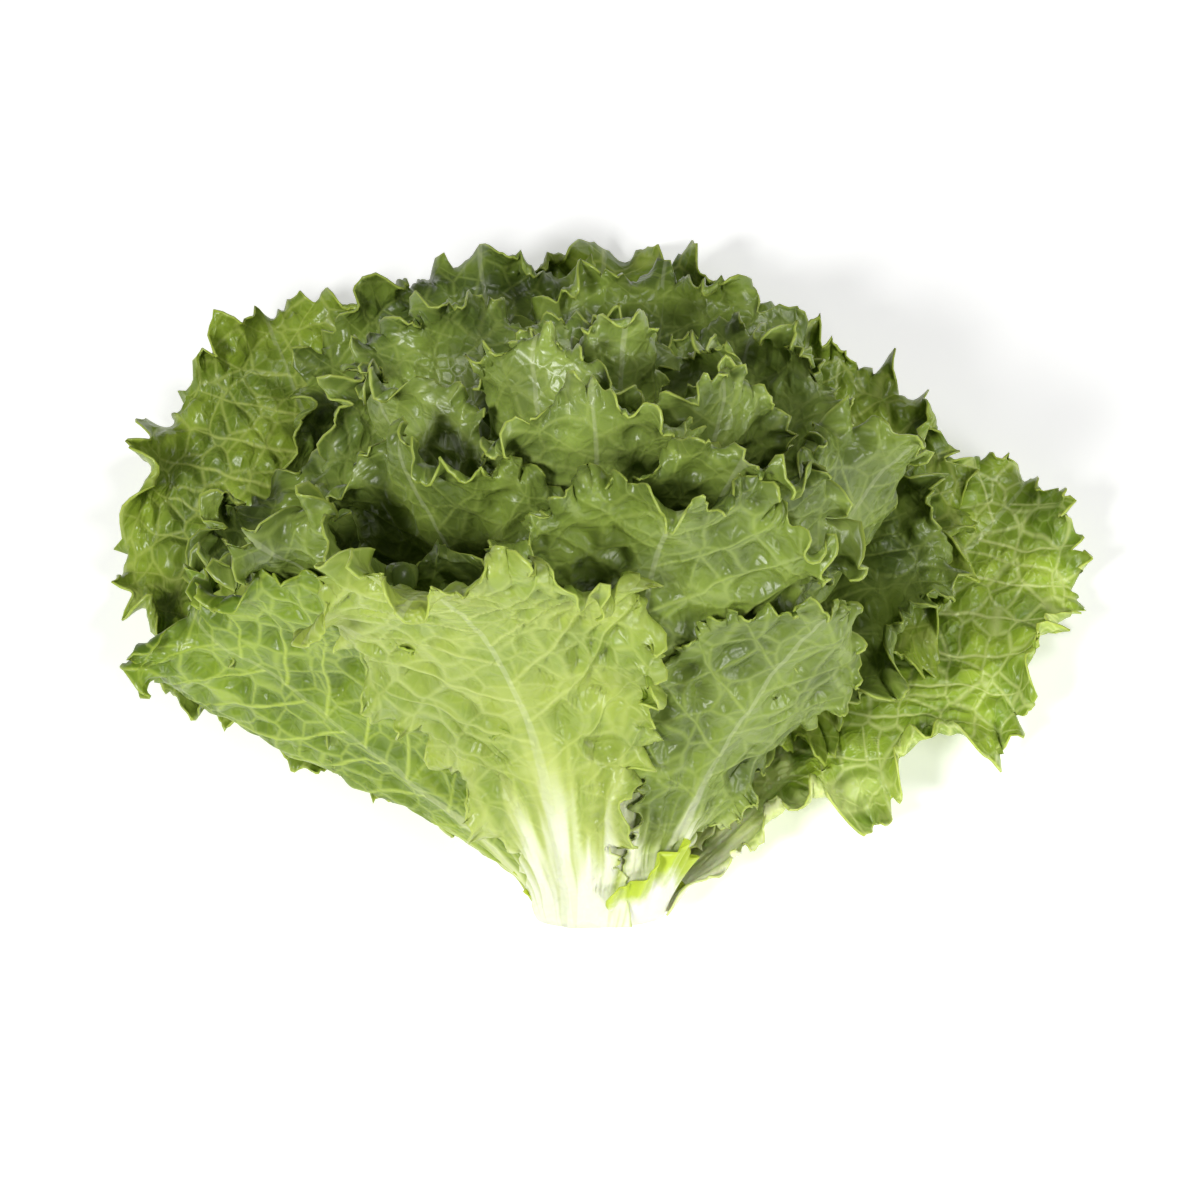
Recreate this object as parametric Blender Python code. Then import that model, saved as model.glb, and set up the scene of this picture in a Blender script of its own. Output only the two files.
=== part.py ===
"""Green leaf lettuce, one cut head lying on its side.

Metres, +Z up. The head lies with its cut stem towards -Y and its leaf tips towards +Y.
The leaves grow from a short stem by the golden angle. Each one lies in a layer of its own:
a layer is a surface of turned profiles round the head's axis, and no two layers meet.
"""

import math

import bpy
import numpy as np
from mathutils.bvhtree import BVHTree

# The head as a whole
LEAF_COUNT = 26
GOLDEN_ANGLE = 137.5
FIRST_AZIMUTH = 180.0
AXIS_RISE = math.radians(35)
BUTT_RADIUS = 0.0175
STEM_TOP_RADIUS = 0.006
STEM_LENGTH = 0.074
STEM_CHAMFER = 0.0012
STEM_TOP_BLUNTED = 0.55
LOWEST_BASE = 0.0015
HIGHEST_BASE = 0.062
STEM_GAP = 0.0013
BUTT_HEIGHT = BUTT_RADIUS * math.cos(AXIS_RISE) + 0.0010

# A layer's profile: how it leans away from the axis, metre by metre from its base
BASE_LEAN = math.radians(2)
HEART_OPENING = math.radians(7)
OPENING_AT_BASE = 0.82
OPENED_BY = 0.06
RECURVE = math.radians(62)
RECURVE_FROM = 0.055
RECURVE_RUN = 0.11
TIP_RISE = math.radians(16)
RISE_FROM = 0.12
RISE_RUN = 0.12

# The angle from the axis that the outermost layer opens to, by the side of the head in degrees:
# 0 is the upper side and 180 the table's
SPREAD_SIDES = (0, 30, 60, 75, 85, 95, 103, 110, 120, 130, 140, 150, 165, 180)
SPREAD_ANGLES = (18, 27, 40, 47, 58, 71, 72.5, 63.9, 54.2, 47.2, 42.2, 39.4, 37.4, 37.4)
SPREAD_SOFTENED = 4.0

# Slow swells that run round the layers, and how softly the table holds the lowest ones up
SWELL = 0.0045
SWELLS_ROUND = 4
SWELL_OVER_LAYERS = 2.0
SWELL_ALONG = 18.0
SOFT_TABLE = 0.0025

# How far the leaf tips reach from the butt: at the heart, and what the outermost layer adds
HEART_REACH = 0.192
REACH_ADDED_BELOW = 0.066
REACH_ADDED_ABOVE = -0.030
REACH_DRAW = 0.006
INNERMOST_LAYER = 0.03

# One leaf
BLADE = 0.0009
RIB_THICKNESS = 0.0034
RIB_HALF_WIDTH = 0.0068
WIDTH_OF_LENGTH = 0.80
HEART_WIDTH_OF_LENGTH = 0.50
BASE_HALF_WIDTH = 0.017
WIDEST_AT = 0.66
FAN_FULLNESS = 0.85
TEETH_FADE_OVER = 0.14
RUFFLES_FADE_OVER = 0.30
RIB_ENDS_AT = 0.85
RIB_SHARE = 0.66
RIB_SIDE = 0.32
MARGIN_SHARE = 0.34
MARGIN_ROW = 0.70
PRESSED_BELOW = 0.0045
TOOTH_DEPTH = 0.0050
LOBE_LENGTH = 0.029
LOBE_REACH = 0.036
LOBE_CURL = math.radians(84)
FRILL_REACH = 0.014
FRILL_CURL = math.radians(66)
OUTWARD_BIAS = math.radians(18)

# Columns of the leaf's fan from its base to its edge, and the share of the way out of each row
LARGE_ROWS = ((0.0, 8), (0.24, 8), (0.48, 16), (0.70, 16), (0.80, 32), (0.91, 32), (1.0, 64))
SMALL_ROWS = ((0.0, 8), (0.30, 8), (0.55, 8), (0.74, 16), (0.89, 16), (1.0, 32))

# Columns across the rib at each row from the base up
STRIP = (4, 2, 2, 2, 0)

# Leaves that the eye goes to, by their rank from the outside: turn in degrees, and shares of length and width
NUDGES = {
    0: dict(length=1.01),
    1: dict(turn=16, length=1.05, width=0.80),
    2: dict(turn=27, length=0.95, width=0.74),
    3: dict(turn=-8, length=1.10),
    4: dict(turn=-93, length=0.94, width=1.12),
    5: dict(length=0.94),
    6: dict(turn=14, length=0.97),
    7: dict(turn=-6, length=0.70, width=0.85),
    8: dict(length=1.05),
    9: dict(turn=38),
    10: dict(turn=16, length=0.88),
    11: dict(length=0.90),
}

# Names of the leaves that are known by their place, and the ranks of those with the finer net
NAMES = {
    0: "under_leaf",
    1: "front_leaf",
    2: "right_leaf",
    3: "left_rear_leaf",
    4: "left_leaf",
    5: "right_rear_leaf",
}
LARGE_RANKS = range(0, 10)

# Where leaves would cross, their ruffles are eased round by round, and then the leaves are parted
EASING_ROUNDS = 60
EASED_TO = 0.84
EASING_STEP = 0.14
PARTED_AFTER = 12
PARTED_UNDER = 0.4
TABLE_GAP = 0.0002
CLEARANCE = 0.00005
PARTING = 0.00015

SEED = 11

# Finishes: sRGB colours, and how much they shine
OUTER_GREEN = "#98b053"
HEART_GREEN = "#aabc68"
PALE_GREEN = "#c7d696"
RIGHT_GREEN = "#7f9646"
STEM_CREAM = "#f6f7e8"
OWN_COLOURS = {1: PALE_GREEN, 2: RIGHT_GREEN}
LEAF_ROUGHNESS = 0.45
STEM_ROUGHNESS = 0.6
SHARP_ABOVE = math.radians(50)


def smooth(x):
    x = np.clip(x, 0.0, 1.0)
    return x * x * (3.0 - 2.0 * x)


def softened_spread():
    """The outermost layer's opening at each degree round the axis, with its corners softened."""
    degrees = np.arange(-180, 180)
    sharp = np.interp(np.abs(degrees), SPREAD_SIDES, SPREAD_ANGLES)
    weights = np.exp(-0.5 * (np.arange(-20, 21) / SPREAD_SOFTENED) ** 2)
    ringed = np.concatenate([sharp] * 3)
    soft = np.convolve(ringed, weights / weights.sum(), mode="same")[360:720]
    return np.radians(np.append(soft, soft[0]))


SPREAD_AT = np.radians(np.arange(-180, 181))
SPREAD = softened_spread()


def spread(azimuth):
    wrapped = (azimuth + math.pi) % (2 * math.pi) - math.pi
    return np.interp(wrapped, SPREAD_AT, SPREAD)


def base_height(layer):
    return LOWEST_BASE + (HIGHEST_BASE - LOWEST_BASE) * (1.0 - layer) ** 1.25


def stem_radius(height):
    share = np.clip(height / STEM_LENGTH, 0.0, 1.0)
    return BUTT_RADIUS + (STEM_TOP_RADIUS - BUTT_RADIUS) * share ** 1.4


def lean(azimuth, layer, along):
    """Angle from the axis of a layer's profile, at a distance along the leaf."""
    upper = 0.5 + 0.5 * np.cos(azimuth)
    rank = 1 - (1 - layer) ** 1.35
    heart = HEART_OPENING * (1 - (1 - layer) ** 5)
    opening = heart + (spread(azimuth) - HEART_OPENING) * rank
    opening = opening * (OPENING_AT_BASE + (1 - OPENING_AT_BASE) * smooth(along / OPENED_BY))
    recurve = layer ** 0.7 * upper ** 3 * RECURVE * smooth((along - RECURVE_FROM) / RECURVE_RUN)
    rise = layer * (1 - upper) ** 1.5 * TIP_RISE * smooth((along - RISE_FROM) / RISE_RUN)
    return BASE_LEAN * (1 - rank) + opening + recurve - rise


def on_layer(azimuth, layer, along, steps=24):
    """Points, in metres, on a layer at an azimuth and a distance along it, all arrays of one shape."""
    start = base_height(layer)
    share = (np.arange(steps) + 0.5) / steps
    angle = lean(azimuth[..., None], layer[..., None], along[..., None] * share)
    out = stem_radius(start) + STEM_GAP + along * np.sin(angle).mean(-1)
    up = start + along * np.cos(angle).mean(-1)
    swell = SWELL * smooth((along - 0.05) / 0.07) * layer
    out = out + swell * np.sin(SWELLS_ROUND * azimuth + SWELL_OVER_LAYERS * layer + SWELL_ALONG * along)
    side = out * np.sin(azimuth)
    front = out * np.cos(azimuth)
    rise_cos, rise_sin = math.cos(AXIS_RISE), math.sin(AXIS_RISE)
    height = BUTT_HEIGHT + up * rise_sin + front * rise_cos
    # The table holds the lowest layers up.
    height = 0.5 * (height + np.sqrt(height ** 2 + SOFT_TABLE ** 2))
    return np.stack([side, up * rise_cos - front * rise_sin, height], -1)


class Leaf:
    """One leaf of the head, by its rank from the outside."""

    def __init__(self, rank):
        self.rank = rank
        self.name = NAMES.get(rank, f"leaf_{rank + 1:02d}")
        nudge = NUDGES.get(rank, {})
        turn = FIRST_AZIMUTH + rank * GOLDEN_ANGLE + nudge.get("turn", 0)
        self.azimuth = math.radians((turn + 180) % 360 - 180)
        self.layer = 1.0 - rank / (LEAF_COUNT - 1) * (1.0 - INNERMOST_LAYER)
        below = (0.5 - 0.5 * math.cos(self.azimuth)) ** 1.8
        added = REACH_ADDED_ABOVE + (REACH_ADDED_BELOW - REACH_ADDED_ABOVE) * below
        draw = np.random.default_rng(SEED * 100 + rank)
        reach = HEART_REACH + self.layer * added + draw.uniform(-REACH_DRAW, REACH_DRAW)
        self.length = (reach - base_height(self.layer)) * nudge.get("length", 1.0)
        share = HEART_WIDTH_OF_LENGTH + (WIDTH_OF_LENGTH - HEART_WIDTH_OF_LENGTH) * smooth(self.layer / 0.6)
        self.half_width = 0.5 * share * self.length * nudge.get("width", 1.0)
        self.base_half = BASE_HALF_WIDTH * (0.45 + 0.55 * self.layer)
        self.rows = LARGE_ROWS if rank in LARGE_RANKS else SMALL_ROWS
        self.columns = self.rows[-1][1]
        self._outline()
        self._edge_waves(draw)
        self._turn_table()

    def _outline(self):
        """The leaf's flat outline, from the left of its stalk round the tip to the right of it."""
        y = np.concatenate([np.linspace(0, 0.9, 200), 1 - 0.1 * (1 - np.linspace(0, 1, 120)) ** 2])
        fan = smooth(y / WIDEST_AT) ** FAN_FULLNESS
        crown = np.sqrt(np.clip(1 - ((y - WIDEST_AT) / (1 - WIDEST_AT)) ** 2, 0, 1))
        wide = np.where(y < WIDEST_AT, fan, crown)
        stalk = self.base_half * (1 - smooth(y))
        half = wide * (self.half_width - stalk) + stalk
        half[-1] = 0
        right = np.stack([half, y * self.length], -1)
        loop = np.concatenate([right * (-1, 1), right[-2::-1]])
        steps = np.linalg.norm(np.diff(loop, axis=0), axis=1)
        run = np.concatenate([[0], np.cumsum(steps)])
        self.edge_length = run[-1]
        self.outline_at = run / run[-1] * 2 - 1
        self.outline = loop

    def _edge_waves(self, draw):
        """Places of the teeth along the edge, and how far each tooth and each lobe curls."""
        gaps = draw.uniform(0.72, 1.28, self.columns)
        places = np.concatenate([[0], np.cumsum(gaps)])
        self.column_at = places / places[-1] * 2 - 1
        teeth = self.columns // 2
        self.tooth_size = draw.uniform(0.6, 1.25, teeth + 1)
        flip = np.where(np.arange(teeth + 1) % 2 == 0, 1.0, -1.0)
        self.frill = flip * draw.uniform(0.35, 1.15, teeth + 1)
        lobes = int(self.edge_length / LOBE_LENGTH) + 3
        side = np.where(np.arange(lobes) % 2 == 0, 1.0, -1.0)
        self.lobe = side * draw.uniform(0.45, 1.25, lobes)
        self.lobe_shift = draw.uniform(0, 1)

    def _turn_table(self):
        """How far round the axis a flat place across the leaf lies, so that the leaf isn't stretched."""
        turns = np.radians(np.arange(-165, 166, 3.0))
        self.table_y = np.linspace(-0.004, self.length * 1.08, 40)
        self.table_x = np.linspace(-0.125, 0.125, 101)
        rows = []
        for y in self.table_y:
            flat = np.full(len(turns), y)
            points = on_layer(self.azimuth + turns, np.full(len(turns), self.layer), flat)
            run = np.concatenate([[0], np.cumsum(np.linalg.norm(np.diff(points, axis=0), axis=1))])
            run -= run[len(turns) // 2]
            rows.append(np.interp(self.table_x, run, turns))
        self.table = np.array(rows)

    def turn_of(self, x, y):
        i = np.clip((y - self.table_y[0]) / (self.table_y[1] - self.table_y[0]), 0, len(self.table_y) - 1.001)
        j = np.clip((x - self.table_x[0]) / (self.table_x[1] - self.table_x[0]), 0, len(self.table_x) - 1.001)
        i0, j0 = i.astype(int), j.astype(int)
        fi, fj = i - i0, j - j0
        low = self.table[i0, j0] * (1 - fj) + self.table[i0, j0 + 1] * fj
        high = self.table[i0 + 1, j0] * (1 - fj) + self.table[i0 + 1, j0 + 1] * fj
        return low * (1 - fi) + high * fi

    def base(self, x, y):
        """The leaf without its ruffles, at flat places x across and y along."""
        azimuth = self.azimuth + self.turn_of(x, y)
        return on_layer(azimuth, np.full(x.shape, self.layer), y)

    def flat(self, t, s):
        """Flat place of column t (-1 to 1 along the edge) and row s.

        s is -1 on the middle line, 0 beside the rib and 1 at the edge, and from MARGIN_ROW on the rows
        run beside the edge. Also gives the way out across the edge, the distance to it, and the column.
        """
        up = RIB_SHARE * self.length * (1 - np.abs(t) ** 1.6)
        beside = RIB_SIDE * self.base_half * np.clip(np.abs(t) / 0.5, 0, 1)
        root = np.stack([np.sign(t) * beside, up], -1)
        edge = self.edge(t)
        tangent = self.edge(t + 0.004) - self.edge(t - 0.004)
        square = np.stack([-tangent[..., 1], tangent[..., 0]], -1)
        square[..., 1] = np.where(np.abs(t) > 0.995, 0.0, square[..., 1])
        square = square / np.linalg.norm(square, axis=-1, keepdims=True)
        fade = smooth((1 - np.abs(t)) / TEETH_FADE_OVER)
        room = 0.55 * (np.abs(edge[..., 0]) - beside) + 0.5 * np.clip(edge[..., 1] - up, 0, None)
        band = np.minimum(MARGIN_SHARE * self.half_width, room)
        inner = edge - square * band[..., None]
        share = np.clip(s / MARGIN_ROW, 0, 1)[..., None]
        out = np.clip((s - MARGIN_ROW) / (1 - MARGIN_ROW), 0, 1)
        place = root + (inner - root) * share + square * (band * out)[..., None]
        place[..., 0] *= 1 + np.minimum(s, 0)
        inside = np.linalg.norm(edge - place, axis=-1)

        count = np.interp(t, self.column_at, np.arange(self.columns + 1))
        size = np.interp(count / 2, np.arange(len(self.tooth_size)) + 0.5, self.tooth_size)
        # A tooth's tip lies at each odd column: sharp tips with round bays between them.
        tooth = TOOTH_DEPTH * size * (0.45 - np.abs(np.cos(count * math.pi / 2)))
        tooth = tooth * fade * min(1.0, self.half_width / 0.07)
        return place + square * (tooth * out)[..., None], square, inside, count

    def edge(self, t):
        return np.stack([np.interp(t, self.outline_at, self.outline[:, k]) for k in (0, 1)], -1)

    def ruffled(self, t, s):
        """Base points, and what the ruffles add to them."""
        flat, way, inside, column = self.flat(t, s)
        x, y = flat[..., 0], flat[..., 1]
        step = 0.0006
        here = self.base(x, y)
        along_x = self.base(x + step, y) - self.base(x - step, y)
        along_y = self.base(x, y + step) - self.base(x, y - step)
        # The normal points away from the axis, where the leaf's back is.
        normal = np.cross(along_y, along_x)
        normal /= np.linalg.norm(normal, axis=-1, keepdims=True)
        outward = way[..., :1] * along_x + way[..., 1:] * along_y
        outward /= np.linalg.norm(outward, axis=-1, keepdims=True)

        fade = smooth((1 - np.abs(t)) / RUFFLES_FADE_OVER)
        size = min(1.0, self.half_width / 0.07)
        lobes = (1 + t) / 2 * self.edge_length / LOBE_LENGTH + self.lobe_shift
        number = np.clip(lobes.astype(int), 0, len(self.lobe) - 1)
        bump = np.sin(np.pi * (lobes - lobes.astype(int)))
        curl = LOBE_CURL * self.lobe[number] * bump * fade + OUTWARD_BIAS * fade
        reach = LOBE_REACH * size
        moved_out, moved_up, angle = curled(curl, reach, inside)

        teeth = column / 2
        lower = np.clip(teeth.astype(int), 0, len(self.frill) - 1)
        frill_bump = np.sin(np.pi * (teeth - teeth.astype(int)))
        frill_curl = FRILL_CURL * self.frill[lower] * frill_bump * fade
        second_out, second_up, _ = curled(frill_curl, FRILL_REACH * size, inside)
        turned_out = second_out * np.cos(angle) - second_up * np.sin(angle)
        turned_up = second_out * np.sin(angle) + second_up * np.cos(angle)
        added = (moved_out + turned_out)[..., None] * outward + (moved_up + turned_up)[..., None] * normal
        return here, added

    def thickness(self, t, s):
        """Half thickness of the blade, and the rib's height on the leaf's back."""
        place = self.flat(t, s)[0]
        x, y = place[..., 0], place[..., 1]
        share = np.clip(y / self.length, 0, 1)
        half = RIB_HALF_WIDTH * (1 - 0.8 * share) * (0.5 + 0.5 * self.layer)
        rib = RIB_THICKNESS * (1 - smooth(share / RIB_ENDS_AT)) * (0.4 + 0.6 * self.layer)
        across = np.clip(np.abs(x) / half, 0, 2) / 2
        return np.full(x.shape, BLADE / 2), rib * (1 - smooth(across))


def curled(curl, reach, inside):
    """How a strip that ends at the edge moves when it rolls up evenly: outwards, up, and its angle."""
    share = np.clip((reach - inside) / reach, 0, 1)
    # The roll starts gently, so its angle grows with the square of the way to the edge.
    angle = curl * share ** 1.6
    steps = (np.arange(8) + 0.5) / 8
    angles = curl[..., None] * (share[..., None] * steps) ** 1.6
    run = reach * share
    moved_out = run * (np.cos(angles).mean(-1) - 1)
    moved_up = run * np.sin(angles).mean(-1)
    return moved_out, moved_up, angle


def between(low, high):
    """Triangles between two rows of vertices, the upper as fine as the lower, or twice as fine."""
    made = []
    for k in range(len(low) - 1):
        a, b = low[k], low[k + 1]
        if len(high) == len(low):
            c, d = high[k], high[k + 1]
            made += [(a, b, d), (a, d, c)] if 2 * k < len(low) - 1 else [(a, b, c), (b, d, c)]
        else:
            c, d, e = high[2 * k: 2 * k + 3]
            made += [(a, d, c), (a, b, d), (b, e, d)]
    return made


def net(rows, strip, column_at):
    """Columns t, rows s and triangles of a leaf, and the loop of vertices round its edge.

    rows: for each row from beside the rib to the edge, its s and its number of columns.
    strip: for each row across the rib from the base up, its number of columns: even, and none at the top.
    """
    finest = rows[-1][1]
    t, s, lines, triangles = [], [], [], []
    for share, columns in rows:
        lines.append(list(range(len(t), len(t) + columns + 1)))
        every = finest // columns
        t += [column_at[column * every] for column in range(columns + 1)]
        s += [share] * (columns + 1)
    for low, high in zip(lines, lines[1:]):
        triangles += between(low, high)
    across = []
    for left, right, columns in zip(lines[0], lines[0][::-1], strip):
        line = [left]
        for k in range(1, columns):
            share = 2 * k / columns - 1
            line.append(len(t))
            t.append(abs(t[right]) * (1 if share >= 0 else -1) or 1e-9)
            s.append(abs(share) - 1)
        across.append(line + [right] if columns else line)
    for low, high in zip(across, across[1:]):
        if len(high) == 1:
            triangles += [(a, b, high[0]) for a, b in zip(low, low[1:])]
        elif len(high) == len(low):
            triangles += between(low, high)
        else:
            triangles += [triangle[::-1] for triangle in between(high, low)]
    right_side = [line[-1] for line in lines]
    left_side = [line[0] for line in lines]
    loop = across[0] + right_side[1:] + lines[-1][-2::-1] + left_side[-2:0:-1]
    return np.array(t), np.array(s), np.array(triangles), loop


def vertex_normals(points, triangles):
    a, b, c = (points[triangles[:, k]] for k in range(3))
    facing = np.cross(b - a, c - a)
    normals = np.zeros_like(points)
    for k in range(3):
        np.add.at(normals, triangles[:, k], facing)
    return normals / np.linalg.norm(normals, axis=1, keepdims=True)


class Blade:
    """The leaf's mesh: a fan of triangles with a front, a back and a rim."""

    def __init__(self, leaf):
        self.leaf = leaf
        self.t, self.s, self.triangles, self.loop = net(leaf.rows, STRIP, leaf.column_at)
        self.here, self.added = leaf.ruffled(self.t, self.s)
        self.half, self.rib = leaf.thickness(self.t, self.s)
        self.free = np.ones(len(self.t))
        self.push = np.zeros(len(self.t))

    def settle(self, places):
        """Flattens the ruffles at these vertices, and their neighbours' in step with them."""
        self.free[places] *= EASED_TO
        limit = np.ones(len(self.free))
        mean = self.free[self.triangles].mean(1)
        for k in range(3):
            np.minimum.at(limit, self.triangles[:, k], mean + EASING_STEP)
        self.free = np.minimum(self.free, limit)

    def solid(self, extra=0.0):
        """Vertices and triangles of the closed blade: its back, its face and the rim between them."""
        points = self.here + self.added * self.free[:, None]
        normals = vertex_normals(points, self.triangles)
        back = points + normals * (self.half + extra + self.push + self.rib * self.free)[:, None]
        face = points - normals * (self.half + extra - self.push)[:, None]
        if self.leaf.rank == 0:
            # The head rests on the middle of its lowest leaf, which is pressed flat there.
            pressed = (self.s < MARGIN_ROW) & (np.abs(self.t) < 0.9) & (back[:, 2] < PRESSED_BELOW)
            back[pressed, 2] = 0.0
        count = len(points)
        rim = []
        for a, b in zip(self.loop, self.loop[1:] + self.loop[:1]):
            rim += [(a, a + count, b + count), (a, b + count, b)]
        faces = np.concatenate([self.triangles, self.triangles[:, ::-1] + count, np.array(rim)])
        return np.concatenate([back, face]), faces


def crossings(solids):
    """Triangle pairs that cross: (one solid, the other, the vertices of each in such a triangle)."""
    trees = [BVHTree.FromPolygons(p.tolist(), f.tolist(), epsilon=0.0) for p, f in solids]
    lows = [p.min(0) for p, _ in solids]
    highs = [p.max(0) for p, _ in solids]
    for i in range(len(solids)):
        for j in range(i, len(solids)):
            if (lows[i] > highs[j]).any() or (lows[j] > highs[i]).any():
                continue
            pairs = trees[i].overlap(trees[j])
            if not pairs:
                continue
            pairs = np.array(pairs)
            one, other = solids[i][1][pairs[:, 0]], solids[j][1][pairs[:, 1]]
            if i == j:
                apart = ~(one[:, :, None] == other[:, None, :]).any((1, 2))
                one, other = one[apart], other[apart]
            if len(one):
                yield i, j, np.unique(one), np.unique(other)


def ease(blades, stem):
    """Flattens the ruffles a little wherever leaves would cross, and parts the leaves that still do."""
    for number in range(EASING_ROUNDS):
        solids = [blade.solid(CLEARANCE) for blade in blades]
        wanted = [set() for _ in blades] + [set()]
        found = 0
        for i, j, one, other in crossings(solids + [stem]):
            found += len(one)
            for which, vertices, way in ((i, one, 1.0), (j, other, -1.0)):
                if which == len(blades):
                    continue
                places = np.unique(vertices % len(blades[which].t))
                wanted[which].update(places)
                if number > PARTED_AFTER and i != j:
                    stuck = places[blades[which].free[places] < PARTED_UNDER]
                    blades[which].push[stuck] += way * PARTING
        for blade, (points, _), places in zip(blades, solids, wanted):
            count = len(blade.t)
            low = np.nonzero((points[:, 2] < TABLE_GAP) & (points[:, 2] != 0))[0] % count
            places.update(low)
            found += len(low)
            if places:
                blade.settle(np.array(sorted(places)))
        if not found:
            break
    print("rounds of easing", number + 1, "left crossing", found)


def linear(colour):
    """Linear red, green and blue of an sRGB hex colour."""
    channels = np.array([int(colour[k:k + 2], 16) / 255 for k in (1, 3, 5)])
    return np.where(channels <= 0.04045, channels / 12.92, ((channels + 0.055) / 1.055) ** 2.4)


def leaf_colour(leaf):
    """The leaf's own colour, or one between the outer leaves' green and the heart's."""
    if leaf.rank in OWN_COLOURS:
        return linear(OWN_COLOURS[leaf.rank])
    outer, heart = linear(OUTER_GREEN), linear(HEART_GREEN)
    return heart + (outer - heart) * leaf.layer


def finish(name, colour, roughness):
    made = bpy.data.materials.new(name)
    made.use_nodes = True
    shader = made.node_tree.nodes["Principled BSDF"]
    shader.inputs["Base Color"].default_value = (*colour, 1.0)
    shader.inputs["Roughness"].default_value = roughness
    shader.inputs["Metallic"].default_value = 0.0
    made.diffuse_color = (*colour, 1.0)
    return made


def add_object(name, points, faces, material, parent):
    mesh = bpy.data.meshes.new(name)
    mesh.from_pydata(points.tolist(), [], outward(points, faces).tolist())
    mesh.shade_smooth()
    mesh.set_sharp_from_angle(angle=SHARP_ABOVE)
    mesh.materials.append(material)
    made = bpy.data.objects.new(name, mesh)
    bpy.context.scene.collection.objects.link(made)
    made.parent = parent


def stem_solid(sides=20):
    """The stem: a turned cone with a blunt top and a flat cut face."""
    heights = np.array([0.0, STEM_CHAMFER, 0.018, 0.036, 0.054, 0.068, STEM_LENGTH])
    radii = stem_radius(heights)
    radii[0] -= STEM_CHAMFER
    radii[-1] *= STEM_TOP_BLUNTED
    turns = np.arange(sides) * 2 * math.pi / sides
    points, faces = [], []
    for height, radius in zip(heights, radii):
        for turn in turns:
            side, front = radius * math.sin(turn), radius * math.cos(turn)
            points.append((side,
                           height * math.cos(AXIS_RISE) - front * math.sin(AXIS_RISE),
                           BUTT_HEIGHT + height * math.sin(AXIS_RISE) + front * math.cos(AXIS_RISE)))
    for ring in range(len(heights) - 1):
        for k in range(sides):
            a, b = ring * sides + k, ring * sides + (k + 1) % sides
            faces += [(a, b, b + sides), (a, b + sides, a + sides)]
    top = (len(heights) - 1) * sides
    for k in range(1, sides - 1):
        faces += [(0, k + 1, k), (top, top + k, top + k + 1)]
    return np.array(points), np.array(faces)


def outward(points, faces):
    """The faces, turned round if they point into the solid."""
    a, b, c = (points[faces[:, k]] for k in range(3))
    volume = np.einsum("ij,ij->i", a, np.cross(b, c)).sum()
    return faces if volume > 0 else faces[:, ::-1]


def main():
    for old in list(bpy.data.objects):
        bpy.data.objects.remove(old)
    leaves = [Leaf(rank) for rank in range(LEAF_COUNT)]
    blades = [Blade(leaf) for leaf in leaves]
    stem = stem_solid()
    ease(blades, stem)
    solids = [blade.solid() for blade in blades]

    # The origin is on the table under the middle of the head.
    everything = np.concatenate([points for points, _ in solids + [stem]])
    middle = (everything.min(0) + everything.max(0)) / 2
    head = bpy.data.objects.new("head", None)
    head.location = (-middle[0], -middle[1], 0.0)
    bpy.context.scene.collection.objects.link(head)

    add_object("stem", *stem, finish("stem", linear(STEM_CREAM), STEM_ROUGHNESS), head)
    for leaf, solid in zip(leaves, solids):
        add_object(leaf.name, *solid, finish(leaf.name, leaf_colour(leaf), LEAF_ROUGHNESS), head)
    size = everything.max(0) - everything.min(0)
    print("leaves", len(leaves), "size in mm", (size * 1000).round(1), "moved by", head.location[:])


if __name__ == "__main__":
    main()
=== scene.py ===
# %% [markdown]
# # A head of green leaf lettuce
#
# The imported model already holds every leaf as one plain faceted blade, where it lies and at its real size.
# This lesson grows the same leaves again, from the same rule, in a mesh fine enough to show what makes
# lettuce look like lettuce: toothed edges, frills inside ruffles, blisters between the veins, and thin flesh
# that lets the light through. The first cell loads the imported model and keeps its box.

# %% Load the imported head
import math

import bmesh
import bpy
import numpy as np
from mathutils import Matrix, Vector
from mathutils.bvhtree import BVHTree


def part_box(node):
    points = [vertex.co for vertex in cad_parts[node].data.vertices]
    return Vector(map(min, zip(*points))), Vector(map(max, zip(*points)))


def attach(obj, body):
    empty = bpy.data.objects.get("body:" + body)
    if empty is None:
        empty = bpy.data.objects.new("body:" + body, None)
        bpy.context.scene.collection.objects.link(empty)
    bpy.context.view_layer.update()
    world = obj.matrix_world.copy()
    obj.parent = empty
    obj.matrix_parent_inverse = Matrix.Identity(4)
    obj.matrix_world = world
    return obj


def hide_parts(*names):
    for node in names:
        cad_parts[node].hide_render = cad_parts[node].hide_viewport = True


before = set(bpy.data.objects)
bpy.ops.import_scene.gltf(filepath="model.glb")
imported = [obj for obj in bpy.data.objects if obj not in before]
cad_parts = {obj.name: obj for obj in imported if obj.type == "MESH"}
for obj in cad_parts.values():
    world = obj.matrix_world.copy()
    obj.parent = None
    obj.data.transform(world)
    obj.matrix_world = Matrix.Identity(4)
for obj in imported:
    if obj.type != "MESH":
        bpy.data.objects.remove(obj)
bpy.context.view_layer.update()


# %% [markdown]
# ## The head's plan
#
# Leaves grow from a short stem, each one 137.5 degrees round from the last. Older leaves are outside and
# open wide, and young ones stand close round the heart. The head lies on its side, so the leaves on the
# table are pressed flat and the upper ones fall open. All of that could be sculpted leaf by leaf, but a rule
# is shorter and keeps the leaves from running into each other: every leaf lies in a layer of its own.

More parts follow.
